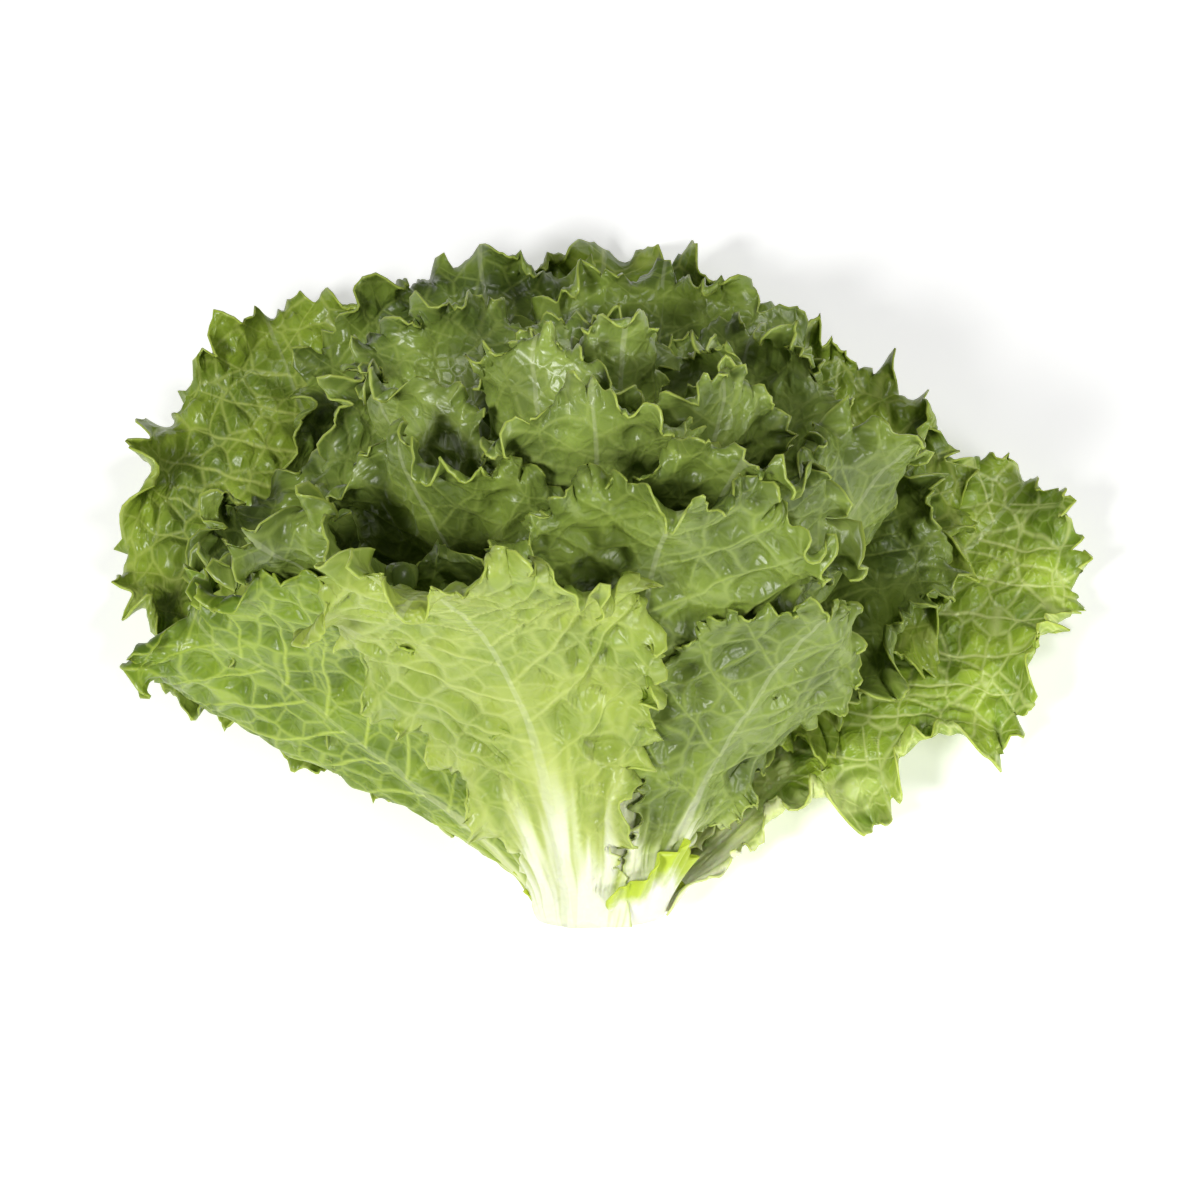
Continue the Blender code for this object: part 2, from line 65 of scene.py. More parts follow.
# %% Sizes of the head
LEAF_COUNT = 26
GOLDEN_ANGLE = 137.5
FIRST_AZIMUTH = 180.0
AXIS_RISE = math.radians(35)
BUTT_RADIUS = 0.0175
STEM_TOP_RADIUS = 0.006
STEM_LENGTH = 0.074
LOWEST_BASE = 0.0015
HIGHEST_BASE = 0.062
STEM_GAP = 0.0013
BUTT_HEIGHT = BUTT_RADIUS * math.cos(AXIS_RISE) + 0.0010
BASE_LEAN = math.radians(2)
HEART_OPENING = math.radians(7)
OPENING_AT_BASE = 0.82
OPENED_BY = 0.06
RECURVE = math.radians(62)
RECURVE_FROM = 0.055
RECURVE_RUN = 0.11
TIP_RISE = math.radians(16)
RISE_FROM = 0.12
RISE_RUN = 0.12
SPREAD_SIDES = (0, 30, 60, 75, 85, 95, 103, 110, 120, 130, 140, 150, 165, 180)
SPREAD_ANGLES = (18, 27, 40, 47, 58, 71, 72.5, 63.9, 54.2, 47.2, 42.2, 39.4, 37.4, 37.4)
SPREAD_SOFTENED = 4.0
SWELL = 0.0045
SWELLS_ROUND = 4
SWELL_OVER_LAYERS = 2.0
SWELL_ALONG = 18.0
SWELL_FROM = 0.05
SWELL_RUN = 0.07
SOFT_TABLE = 0.0025
SEED = 11


def smooth(x):
    x = np.clip(x, 0.0, 1.0)
    return x * x * (3.0 - 2.0 * x)


def running(steps):
    """Nought, and then the sum of the steps so far."""
    return np.concatenate([[0], np.cumsum(steps)])


def length_along(points):
    """How far along a line of points each of them lies."""
    return running(np.linalg.norm(np.diff(points, axis=0), axis=1))


def unit(vectors):
    """Vectors the same way, each of length 1."""
    return vectors / np.linalg.norm(vectors, axis=-1, keepdims=True)


def softened_spread():
    """The outermost layer's opening at each degree round the axis, with its corners softened."""
    degrees = np.arange(-180, 180)
    sharp = np.interp(np.abs(degrees), SPREAD_SIDES, SPREAD_ANGLES)
    weights = np.exp(-0.5 * (np.arange(-20, 21) / SPREAD_SOFTENED) ** 2)
    ringed = np.concatenate([sharp] * 3)
    soft = np.convolve(ringed, weights / weights.sum(), mode="same")[360:720]
    return np.radians(np.append(soft, soft[0]))


SPREAD_AT = np.radians(np.arange(-180, 181))
SPREAD = softened_spread()
print("the outermost layer opens by", np.degrees(SPREAD).min().round(), "to",
      np.degrees(SPREAD).max().round(), "degrees")


# %% A layer of the head
def base_height(layer):
    return LOWEST_BASE + (HIGHEST_BASE - LOWEST_BASE) * (1.0 - layer) ** 1.25


def stem_radius(height):
    share = np.clip(height / STEM_LENGTH, 0.0, 1.0)
    return BUTT_RADIUS + (STEM_TOP_RADIUS - BUTT_RADIUS) * share ** 1.4


def lean(azimuth, layer, along):
    """Angle from the axis of a layer's profile, at a distance along the leaf."""
    upper = 0.5 + 0.5 * np.cos(azimuth)
    rank = 1 - (1 - layer) ** 1.35
    heart = HEART_OPENING * (1 - (1 - layer) ** 5)
    wrapped = (azimuth + math.pi) % (2 * math.pi) - math.pi
    opening = heart + (np.interp(wrapped, SPREAD_AT, SPREAD) - HEART_OPENING) * rank
    opening = opening * (OPENING_AT_BASE + (1 - OPENING_AT_BASE) * smooth(along / OPENED_BY))
    recurve = layer ** 0.7 * upper ** 3 * RECURVE * smooth((along - RECURVE_FROM) / RECURVE_RUN)
    rise = layer * (1 - upper) ** 1.5 * TIP_RISE * smooth((along - RISE_FROM) / RISE_RUN)
    return BASE_LEAN * (1 - rank) + opening + recurve - rise


def on_layer(azimuth, layer, along, steps=24):
    """Points, in metres, on a layer at an azimuth and a distance along it, all arrays of one shape."""
    start = base_height(layer)
    share = (np.arange(steps) + 0.5) / steps
    angle = lean(azimuth[..., None], layer[..., None], along[..., None] * share)
    out = stem_radius(start) + STEM_GAP + along * np.sin(angle).mean(-1)
    up = start + along * np.cos(angle).mean(-1)
    swell = SWELL * smooth((along - SWELL_FROM) / SWELL_RUN) * layer
    out = out + swell * np.sin(SWELLS_ROUND * azimuth + SWELL_OVER_LAYERS * layer + SWELL_ALONG * along)
    side = out * np.sin(azimuth)
    front = out * np.cos(azimuth)
    rise_cos, rise_sin = math.cos(AXIS_RISE), math.sin(AXIS_RISE)
    height = BUTT_HEIGHT + up * rise_sin + front * rise_cos
    height = 0.5 * (height + np.sqrt(height ** 2 + SOFT_TABLE ** 2))
    return np.stack([side, up * rise_cos - front * rise_sin, height], -1)


top = on_layer(np.zeros(3), np.array([1.0, 0.5, 0.0]), np.full(3, 0.15))
print("height of the upper side 150 mm up the leaves, outer to heart:", (top[:, 2] * 1000).round(), "mm")


# %% [markdown]
# ## One leaf
#
# A leaf is first cut out flat: a narrow stalk, a fan that is widest two thirds of the way up, and a round
# crown, with pointed teeth and round bays between them. Then the flat shape is laid on its layer. Its margin
# is longer than the leaf has room for, so it rolls up and down: large lobes first, frills on the lobes, and
# small crimps at each tooth. Each roll is a strip that bends evenly, so it never stretches the leaf.

# %% The leaf's flat outline
WIDEST_AT = 0.66
FAN_FULLNESS = 0.85


def give_outline(leaf):
    """Gives the leaf its flat outline, from the left of its stalk round the tip to the right of it."""
    y = np.concatenate([np.linspace(0, 0.9, 200), 1 - 0.1 * (1 - np.linspace(0, 1, 120)) ** 2])
    fan = smooth(y / WIDEST_AT) ** FAN_FULLNESS
    crown = np.sqrt(np.clip(1 - ((y - WIDEST_AT) / (1 - WIDEST_AT)) ** 2, 0, 1))
    wide = np.where(y < WIDEST_AT, fan, crown)
    stalk = leaf.base_half * (1 - smooth(y))
    half = wide * (leaf.half_width - stalk) + stalk
    half[-1] = 0
    right = np.stack([half, y * leaf.length], -1)
    loop = np.concatenate([right * (-1, 1), right[-2::-1]])
    run = length_along(loop)
    leaf.edge_length = run[-1]
    leaf.outline_at = run / run[-1] * 2 - 1
    leaf.outline = loop


# %% Its teeth, lobes and frills
LOBE_LENGTH = 0.029
FINE_COUNT = 96


def by_turns(count):
    """1 and -1 by turns."""
    return np.where(np.arange(count) % 2 == 0, 1.0, -1.0)


def spread_out(steps):
    """Places from -1 to 1 with these steps between them."""
    places = running(steps)
    return places / places[-1] * 2 - 1


def draw_edge(leaf, draw):
    """Places of the teeth along the edge, and how far each tooth and each lobe curls."""
    leaf.column_at = spread_out(draw.uniform(0.72, 1.28, leaf.columns))
    teeth = leaf.columns // 2 + 1
    leaf.tooth_size = draw.uniform(0.6, 1.25, teeth)
    leaf.frill = by_turns(teeth) * draw.uniform(0.35, 1.15, teeth)
    lobes = int(leaf.edge_length / LOBE_LENGTH) + 3
    leaf.lobe = by_turns(lobes) * draw.uniform(0.45, 1.25, lobes)
    leaf.lobe_shift = draw.uniform(0, 1)
    large, small = FINE_COUNT // 2 + 1, FINE_COUNT + 1
    leaf.fine_tooth = 0.25 + 1.5 * draw.uniform(0, 1, large) ** 1.5
    leaf.small_tooth = 0.1 + 1.5 * draw.uniform(0, 1, small) ** 1.5
    leaf.bay = draw.uniform(0.2, 1.6, lobes)
    leaf.fine_at = spread_out(draw.uniform(0.5, 1.5, FINE_COUNT))
    leaf.fine_frill = by_turns(large) * draw.uniform(0.3, 1.2, large)
    leaf.crimp = by_turns(small) * draw.uniform(0.2, 1.2, small)


# %% Its way round the stem
TABLE_SIDE = 0.125
TABLE_BELOW = 0.004


def give_turn_table(leaf):
    """How far round the axis a flat place across the leaf lies, so that the leaf isn't stretched."""
    turns = np.radians(np.arange(-165, 166, 3.0))
    leaf.table_y = np.linspace(-TABLE_BELOW, leaf.length * 1.08, 40)
    leaf.table_x = np.linspace(-TABLE_SIDE, TABLE_SIDE, 101)
    rows = []
    for y in leaf.table_y:
        flat = np.full(len(turns), y)
        points = on_layer(leaf.azimuth + turns, np.full(len(turns), leaf.layer), flat)
        run = length_along(points)
        run -= run[len(turns) // 2]
        rows.append(np.interp(leaf.table_x, run, turns))
    leaf.table = np.array(rows)


def turn_of(leaf, x, y):
    """The table's turn at flat places x across and y along."""
    i, j = (np.clip((at - table[0]) / (table[1] - table[0]), 0, len(table) - 1.001)
            for at, table in ((y, leaf.table_y), (x, leaf.table_x)))
    i0, j0 = i.astype(int), j.astype(int)
    fi, fj = i - i0, j - j0
    low = leaf.table[i0, j0] * (1 - fj) + leaf.table[i0, j0 + 1] * fj
    high = leaf.table[i0 + 1, j0] * (1 - fj) + leaf.table[i0 + 1, j0 + 1] * fj
    return low * (1 - fi) + high * fi


# %% The leaves
HEART_REACH = 0.192
REACH_ADDED_BELOW = 0.066
REACH_ADDED_ABOVE = -0.030
REACH_DRAW = 0.006
INNERMOST_LAYER = 0.03
WIDTH_OF_LENGTH = 0.80
HEART_WIDTH_OF_LENGTH = 0.50
BASE_HALF_WIDTH = 0.017
FULL_HALF_WIDTH = 0.07
# Rows of the plain net, s and number of columns, for large leaves and for small ones.
LARGE_ROWS = ((0.0, 8), (0.24, 8), (0.48, 16), (0.70, 16), (0.80, 32), (0.91, 32), (1.0, 64))
SMALL_ROWS = ((0.0, 8), (0.30, 8), (0.55, 8), (0.74, 16), (0.89, 16), (1.0, 32))
LARGE_RANKS = range(0, 10)
NAMES = {
    0: "under_leaf",
    1: "front_leaf",
    2: "right_leaf",
    3: "left_rear_leaf",
    4: "left_leaf",
    5: "right_rear_leaf",
}
# Degrees further round the stem, and how much longer and wider than the rule says.
NUDGES = {
    0: dict(length=1.01),
    1: dict(turn=16, length=1.05, width=0.80),
    2: dict(turn=27, length=0.95, width=0.74),
    3: dict(turn=-8, length=1.10),
    4: dict(turn=-93, length=0.94, width=1.12),
    5: dict(length=0.94),
    6: dict(turn=14, length=0.97),
    7: dict(turn=-6, length=0.70, width=0.85),
    8: dict(length=1.05),
    9: dict(turn=38),
    10: dict(turn=16, length=0.88),
    11: dict(length=0.90),
}


class Leaf:
    """One leaf of the head, by its rank from the outside."""

    def __init__(self, rank):
        self.rank = rank
        self.name = NAMES.get(rank, f"leaf_{rank + 1:02d}")
        nudge = NUDGES.get(rank, {})
        turn = FIRST_AZIMUTH + rank * GOLDEN_ANGLE + nudge.get("turn", 0)
        self.azimuth = math.radians((turn + 180) % 360 - 180)
        self.layer = 1.0 - rank / (LEAF_COUNT - 1) * (1.0 - INNERMOST_LAYER)
        below = (0.5 - 0.5 * math.cos(self.azimuth)) ** 1.8
        added = REACH_ADDED_ABOVE + (REACH_ADDED_BELOW - REACH_ADDED_ABOVE) * below
        draw = np.random.default_rng(SEED * 100 + rank)
        reach = HEART_REACH + self.layer * added + draw.uniform(-REACH_DRAW, REACH_DRAW)
        self.length = (reach - base_height(self.layer)) * nudge.get("length", 1.0)
        share = HEART_WIDTH_OF_LENGTH + (WIDTH_OF_LENGTH - HEART_WIDTH_OF_LENGTH) * smooth(self.layer / 0.6)
        self.half_width = 0.5 * share * self.length * nudge.get("width", 1.0)
        self.base_half = BASE_HALF_WIDTH * (0.45 + 0.55 * self.layer)
        self.rows = LARGE_ROWS if rank in LARGE_RANKS else SMALL_ROWS
        self.columns = self.rows[-1][1]
        self.scale = min(1.0, self.half_width / FULL_HALF_WIDTH)
        give_outline(self)
        draw_edge(self, draw)
        give_turn_table(self)


leaves = [Leaf(rank) for rank in range(LEAF_COUNT)]
print(len(leaves), "leaves,", round(min(leaf.length for leaf in leaves) * 1000), "to",
      round(max(leaf.length for leaf in leaves) * 1000), "mm long")


# %% Flat places on a leaf
RIB_SHARE = 0.66
RIB_SIDE = 0.32
MARGIN_SHARE = 0.34
MARGIN_ROW = 0.70
TEETH_FADE_OVER = 0.14
TOOTH_DEPTH = 0.0050
FINE_TOOTH_DEPTH = 0.0080
SMALL_TOOTH_DEPTH = 0.0044
LOBE_DEPTH = 0.0075
EDGE_STEP = 0.004


def edge_at(leaf, t):
    """Where column t meets the flat outline."""
    return np.stack([np.interp(t, leaf.outline_at, leaf.outline[:, k]) for k in (0, 1)], -1)


def lobes_at(leaf, t):
    """How many lobes along the edge column t lies."""
    return (1 + t) / 2 * leaf.edge_length / LOBE_LENGTH + leaf.lobe_shift


def blended(values, place):
    """One of the values between each two whole numbers, blending into the next."""
    return np.interp(place, np.arange(len(values)) + 0.5, values)


def flat_place(leaf, t, s, fine=False):
    """Flat place of column t (-1 to 1 along the edge) and row s.

    s is -1 on the middle line, 0 beside the rib and 1 at the edge, and from MARGIN_ROW on the rows
    run beside the edge. Also gives the way out across the edge, the distance to it, and the column.
    """
    up = RIB_SHARE * leaf.length * (1 - np.abs(t) ** 1.6)
    beside = RIB_SIDE * leaf.base_half * np.clip(np.abs(t) / 0.5, 0, 1)
    root = np.stack([np.sign(t) * beside, up], -1)
    edge = edge_at(leaf, t)
    tangent = edge_at(leaf, t + EDGE_STEP) - edge_at(leaf, t - EDGE_STEP)
    square = np.stack([-tangent[..., 1], tangent[..., 0]], -1)
    square[..., 1] = np.where(np.abs(t) > 0.995, 0.0, square[..., 1])
    square = unit(square)
    fade = smooth((1 - np.abs(t)) / TEETH_FADE_OVER)
    room = 0.55 * (np.abs(edge[..., 0]) - beside) + 0.5 * np.clip(edge[..., 1] - up, 0, None)
    band = np.minimum(MARGIN_SHARE * leaf.half_width, room)
    inner = edge - square * band[..., None]
    share = np.clip(s / MARGIN_ROW, 0, 1)[..., None]
    out = np.clip((s - MARGIN_ROW) / (1 - MARGIN_ROW), 0, 1)
    place = root + (inner - root) * share + square * (band * out)[..., None]
    place[..., 0] *= 1 + np.minimum(s, 0)
    inside = np.linalg.norm(edge - place, axis=-1)

    column_at = leaf.fine_at if fine else leaf.column_at
    count = np.interp(t, column_at, np.arange(len(column_at)))
    # Pointed teeth with round bays between them: large ones, small ones, and a wide bay at each lobe.
    teeth = ((TOOTH_DEPTH, leaf.tooth_size, count / 2, 0.45, 1),)
    if fine:
        teeth = ((FINE_TOOTH_DEPTH, leaf.fine_tooth, count / 2, 0.42, 0.8),
                 (SMALL_TOOTH_DEPTH, leaf.small_tooth, count, 0.40, 0.8),
                 (LOBE_DEPTH, leaf.bay, lobes_at(leaf, t), 0.38, 1.5))
    tooth = sum(depth * blended(sizes, at) * (middle - np.abs(np.cos(at * math.pi)) ** power)
                for depth, sizes, at, middle, power in teeth)
    tooth = tooth * fade * leaf.scale
    return place + square * (tooth * out ** (1.6 if fine else 1))[..., None], square, inside, count


# %% Rolls of the margin
RUFFLES_FADE_OVER = 0.30
LOBE_REACH = 0.036
LOBE_CURL = math.radians(84)
OUTWARD_BIAS = math.radians(18)
FRILL_REACH = 0.014
FRILL_CURL = math.radians(66)
FINE_FRILL_REACH = 0.016
FINE_FRILL_CURL = math.radians(92)
CRIMP_REACH = 0.0080
CRIMP_CURL = math.radians(72)


def curled(curl, reach, inside):
    """How a strip that ends at the edge moves when it rolls up evenly: outwards, up, and its angle."""
    share = np.clip((reach - inside) / reach, 0, 1)
    angle = curl * share ** 1.6
    steps = (np.arange(8) + 0.5) / 8
    angles = curl[..., None] * (share[..., None] * steps) ** 1.6
    run = reach * share
    return run * (np.cos(angles).mean(-1) - 1), run * np.sin(angles).mean(-1), angle


def rolled(rolls, inside, free):
    """How far the rolls together move a place, outwards and up. Each is left as free as its number says."""
    turned = np.zeros(inside.shape)
    out, up = np.zeros(inside.shape), np.zeros(inside.shape)
    for (curl, reach), left in zip(rolls, free):
        moved_out, moved_up, angle = curled(curl, reach, inside)
        out += (moved_out * np.cos(turned) - moved_up * np.sin(turned)) * left
        up += (moved_out * np.sin(turned) + moved_up * np.cos(turned)) * left
        turned = turned + angle * left
    return out, up


def waves(values, place):
    """A wave with one hump between whole numbers, each of its own height."""
    number = np.clip(place.astype(int), 0, len(values) - 1)
    return values[number] * np.sin(np.pi * (place - place.astype(int)))


def rolls_of(leaf, t, column, fine=False):
    """The rolls of the margin, widest first: how far each turns the edge, and how wide it is."""
    fade = smooth((1 - np.abs(t)) / RUFFLES_FADE_OVER)
    made = [(LOBE_CURL * waves(leaf.lobe, lobes_at(leaf, t)) + OUTWARD_BIAS, LOBE_REACH)]
    if fine:
        made.append((FINE_FRILL_CURL * waves(leaf.fine_frill, column / 2), FINE_FRILL_REACH))
        made.append((CRIMP_CURL * waves(leaf.crimp, column), CRIMP_REACH))
    else:
        made.append((FRILL_CURL * waves(leaf.frill, column / 2), FRILL_REACH))
    return [(curl * fade, reach * leaf.scale) for curl, reach in made]


# %% Ruffled places on a leaf
BLADE = 0.0009
FINE_BLADE = 0.0007
RIB_THICKNESS = 0.0034
RIB_HALF_WIDTH = 0.0068
RIB_ENDS_AT = 0.85


def base_place(leaf, x, y):
    """The leaf without its ruffles, at flat places x across and y along."""
    azimuth = leaf.azimuth + turn_of(leaf, x, y)
    return on_layer(azimuth, np.full(x.shape, leaf.layer), y)


def directions(leaf, x, y, way):
    """Place on the layer, the normal on the leaf's back, and the way out across the edge."""
    step = 0.0006
    here = base_place(leaf, x, y)
    along_x = base_place(leaf, x + step, y) - base_place(leaf, x - step, y)
    along_y = base_place(leaf, x, y + step) - base_place(leaf, x, y - step)
    outward = way[..., :1] * along_x + way[..., 1:] * along_y
    return here, unit(np.cross(along_y, along_x)), unit(outward)


def ruffled(leaf, t, s):
    """Base points, and what the ruffles add to them."""
    flat, way, inside, column = flat_place(leaf, t, s)
    here, normal, outward = directions(leaf, flat[..., 0], flat[..., 1], way)
    out, up = rolled(rolls_of(leaf, t, column), inside, [1.0, 1.0])
    return here, out[..., None] * outward + up[..., None] * normal


def thickness_of(leaf, t, s, fine=False):
    """Half thickness of the blade, and the rib's height on the leaf's back."""
    place = flat_place(leaf, t, s, fine)[0]
    x, y = place[..., 0], place[..., 1]
    share = np.clip(y / leaf.length, 0, 1)
    half = RIB_HALF_WIDTH * (1 - 0.8 * share) * (0.5 + 0.5 * leaf.layer)
    rib = RIB_THICKNESS * (1 - smooth(share / RIB_ENDS_AT)) * (0.4 + 0.6 * leaf.layer)
    across = np.clip(np.abs(x) / half, 0, 2) / 2
    return np.full(x.shape, (FINE_BLADE if fine else BLADE) / 2), rib * (1 - smooth(across))


# %% [markdown]
# ## A net of triangles for a fan
#
# The mesh follows the leaf: rows run beside the rib and the edge, columns fan out from the rib. A leaf is
# much longer round its edge than along its rib, so the number of columns doubles on the way out. The same
# function makes the plain net that finds where leaves would meet and the fine one that is seen.

# %% Nets
def between(low, high):
    """Triangles between two rows of vertices, the upper as fine as the lower, or twice as fine."""
    made = []
    for k in range(len(low) - 1):
        a, b = low[k], low[k + 1]
        if len(high) == len(low):
            c, d = high[k], high[k + 1]
            made += [(a, b, d), (a, d, c)] if 2 * k < len(low) - 1 else [(a, b, c), (b, d, c)]
        else:
            c, d, e = high[2 * k: 2 * k + 3]
            made += [(a, d, c), (a, b, d), (b, e, d)]
    return made


def net(rows, strip, column_at):
    """Columns t, rows s and triangles of a leaf, and the loop of vertices round its edge.

    rows: for each row from beside the rib to the edge, its s and its number of columns.
    strip: for each row across the rib from the base up, its number of columns: even, and none at the top.
    """
    finest = rows[-1][1]
    t, s, lines, triangles = [], [], [], []
    for share, columns in rows:
        lines.append(list(range(len(t), len(t) + columns + 1)))
        every = finest // columns
        t += [column_at[column * every] for column in range(columns + 1)]
        s += [share] * (columns + 1)
    for low, high in zip(lines, lines[1:]):
        triangles += between(low, high)
    across = []
    for left, right, columns in zip(lines[0], lines[0][::-1], strip):
        line = [left]
        for k in range(1, columns):
            share = 2 * k / columns - 1
            line.append(len(t))
            t.append(abs(t[right]) * (1 if share >= 0 else -1) or 1e-9)
            s.append(abs(share) - 1)
        across.append(line + [right] if columns else line)
    for low, high in zip(across, across[1:]):
        if len(high) == 1:
            triangles += [(a, b, high[0]) for a, b in zip(low, low[1:])]
        elif len(high) == len(low):
            triangles += between(low, high)
        else:
            triangles += [triangle[::-1] for triangle in between(high, low)]
    right_side = [line[-1] for line in lines]
    left_side = [line[0] for line in lines]
    loop = across[0] + right_side[1:] + lines[-1][-2::-1] + left_side[-2:0:-1]
    return np.array(t), np.array(s), np.array(triangles), loop


def vertex_normals(points, triangles):
    a, b, c = (points[triangles[:, k]] for k in range(3))
    facing = np.cross(b - a, c - a)
    normals = np.zeros_like(points)
    for k in range(3):
        np.add.at(normals, triangles[:, k], facing)
    return unit(normals)


def closed(back, face, triangles, loop):
    """Vertices and triangles of a blade from its back, its face and the rim between them."""
    count = len(back)
    rim = []
    for a, b in zip(loop, loop[1:] + loop[:1]):
        rim += [(a, a + count, b + count), (a, b + count, b)]
    faces = np.concatenate([triangles, triangles[:, ::-1] + count, np.array(rim)])
    return np.concatenate([back, face]), faces


# %% [markdown]
# ## Where leaves meet
#
# Ruffles of neighbouring leaves would cut through each other. Real ones push each other flat, so the plain
# blades are tested against each other round by round, and wherever two cross, their ruffles are eased a
# little. The result is a number at each vertex: how much of its ruffle is left. The fine leaves use it too.

# %% Sizes of the easing
EASING_ROUNDS = 60
EASED_TO = 0.84
EASING_STEP = 0.14
PARTED_AFTER = 12
PARTED_UNDER = 0.4
TABLE_GAP = 0.0002
CLEARANCE = 0.00005
PARTING = 0.00015


# %% Ruffles in step
def in_step(free, triangles, pull, step):
    """Keeps each vertex's freedom within a step of its triangles' least or mean freedom."""
    limit = np.ones(len(free))
    reach = pull(free[triangles], axis=1) + step
    for k in range(3):
        np.minimum.at(limit, triangles[:, k], reach)
    return np.minimum(free, limit)


# %% A plain blade
# Columns across the rib at each row from the base up.
STRIP = (4, 2, 2, 2, 0)
PRESSED_BELOW = 0.0045


class Blade:
    """A leaf's plain mesh, with how free its ruffles are and how far it is pushed."""

    def __init__(self, leaf):
        self.leaf = leaf
        self.t, self.s, self.triangles, self.loop = net(leaf.rows, STRIP, leaf.column_at)
        self.here, self.added = ruffled(leaf, self.t, self.s)
        self.half, self.rib = thickness_of(leaf, self.t, self.s)
        self.free = np.ones(len(self.t))
        self.push = np.zeros(len(self.t))

    def settle(self, places):
        """Flattens the ruffles at these vertices, and their neighbours' in step with them."""
        self.free[places] *= EASED_TO
        self.free = in_step(self.free, self.triangles, np.mean, EASING_STEP)

    def solid(self, extra):
        points = self.here + self.added * self.free[:, None]
        normals = vertex_normals(points, self.triangles)
        back = points + normals * (self.half + extra + self.push + self.rib * self.free)[:, None]
        face = points - normals * (self.half + extra - self.push)[:, None]
        if self.leaf.rank == 0:
            pressed = (self.s < MARGIN_ROW) & (np.abs(self.t) < 0.9) & (back[:, 2] < PRESSED_BELOW)
            back[pressed, 2] = 0.0
        return closed(back, face, self.triangles, self.loop)

    def at(self, values, t, s):
        """Values of this blade's vertices, read at other columns and rows."""
        lines, start = [], 0
        for _, columns in self.leaf.rows:
            span = slice(start, start + columns + 1)
            lines.append(np.interp(t, self.t[span], values[span]))
            start += columns + 1
        shares = np.array([share for share, _ in self.leaf.rows])
        place = np.interp(np.clip(s, 0, 1), shares, np.arange(len(shares)))
        low = np.minimum(place.astype(int), len(shares) - 2)
        lines = np.array(lines)
        which = np.arange(len(t))
        return lines[low, which] + (lines[low + 1, which] - lines[low, which]) * (place - low)


# %% Where shapes cross
def crossings(shapes, itself):
    """Where triangles cross: one shape, the other, and the vertices of each in such a triangle.

    itself: whether a shape that crosses itself counts too.
    """
    trees = [BVHTree.FromPolygons(points.tolist(), triangles.tolist()) for points, triangles in shapes]
    for i in range(len(shapes)):
        for j in range(i if itself else i + 1, len(shapes)):
            pairs = np.array(trees[i].overlap(trees[j]), int).reshape(-1, 2)
            one, other = shapes[i][1][pairs[:, 0]], shapes[j][1][pairs[:, 1]]
            if i == j:
                apart = ~(one[:, :, None] == other[:, None, :]).any((1, 2))
                one, other = one[apart], other[apart]
            if len(one):
                yield i, j, np.unique(one), np.unique(other)


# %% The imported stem
def from_axis(height, front, side):
    """A point by its height up the stem's axis and its distances to the front and the side of it."""
    return (side,
            height * math.cos(AXIS_RISE) - front * math.sin(AXIS_RISE),
            BUTT_HEIGHT + height * math.sin(AXIS_RISE) + front * math.cos(AXIS_RISE))


def turned_shape(heights, reaches):
    """Points and quads of a shape round the stem's axis: at each height, how far it reaches all round."""
    sides = len(reaches[0])
    turns = np.arange(sides) * 2 * math.pi / sides
    points = [from_axis(height, reach * math.cos(turn), reach * math.sin(turn))
              for height, ring in zip(heights, reaches) for turn, reach in zip(turns, ring)]
    lines = np.arange(len(points)).reshape(-1, sides)
    beside = np.roll(lines, -1, axis=1)
    quads = np.stack([lines[:-1], beside[:-1], beside[1:], lines[1:]], -1)
    return np.array(points), quads.reshape(-1, 4)


def stem_solid(sides=20):
    """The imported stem: a turned cone with a blunt top and a flat cut face."""
    heights = np.array([0.0, 0.0012, 0.018, 0.036, 0.054, 0.068, STEM_LENGTH])
    radii = stem_radius(heights)
    radii[0] -= 0.0012
    radii[-1] *= 0.55
    points, quads = turned_shape(heights, np.repeat(radii[:, None], sides, axis=1))
    last = len(points) - sides
    caps = [face for k in range(1, sides - 1) for face in ((0, k + 1, k), (last, last + k, last + k + 1))]
    return points, np.concatenate([quads[:, :3], quads[:, (0, 2, 3)], caps])


# %% Ease the ruffles apart
def ease(blades, stem):
    """Flattens the ruffles a little wherever leaves would cross, and parts the leaves that still do."""
    for number in range(EASING_ROUNDS):
        solids = [blade.solid(CLEARANCE) for blade in blades]
        wanted = [set() for _ in blades] + [set()]
        found = 0
        for i, j, one, other in crossings(solids + [stem], itself=True):
            found += len(one)
            for which, vertices, way in ((i, one, 1.0), (j, other, -1.0)):
                if which == len(blades):
                    continue
                places = np.unique(vertices % len(blades[which].t))
                wanted[which].update(places)
                if number > PARTED_AFTER and i != j:
                    stuck = places[blades[which].free[places] < PARTED_UNDER]
                    blades[which].push[stuck] += way * PARTING
        for blade, (points, _), places in zip(blades, solids, wanted):
            low = np.nonzero((points[:, 2] < TABLE_GAP) & (points[:, 2] != 0))[0] % len(blade.t)
            places.update(low)
            found += len(low)
            if places:
                blade.settle(np.array(sorted(places)))
        if not found:
            break
    print("rounds of easing", number + 1, "left crossing", found)


blades = [Blade(leaf) for leaf in leaves]
plain_stem = stem_solid()
ease(blades, plain_stem)

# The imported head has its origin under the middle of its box, so the stem tells how far it was moved.
low_corner = np.array(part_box("stem")[0])
SHIFT = low_corner - plain_stem[0].min(0)
print("the packed head stands", (SHIFT * 1000).round(2), "mm from this plan")


# %% [markdown]
# ## Colours and nodes
#
# Colours are kept as the hex values that a colour picker shows, and one function turns them to the linear
# values that Blender's shaders count in. Another adds a node, sets it up and links it, so that each pattern
# below reads as a list of what it does.

# %% Helpers for node trees
SOFT = {"interpolation_type": "SMOOTHSTEP"}


def linear(colour):
    """Linear red, green, blue and alpha of an sRGB hex colour."""
    channels = [int(colour[k:k + 2], 16) / 255 for k in (1, 3, 5)]
    return (*[c / 12.92 if c <= 0.04045 else ((c + 0.055) / 1.055) ** 2.4 for c in channels], 1.0)


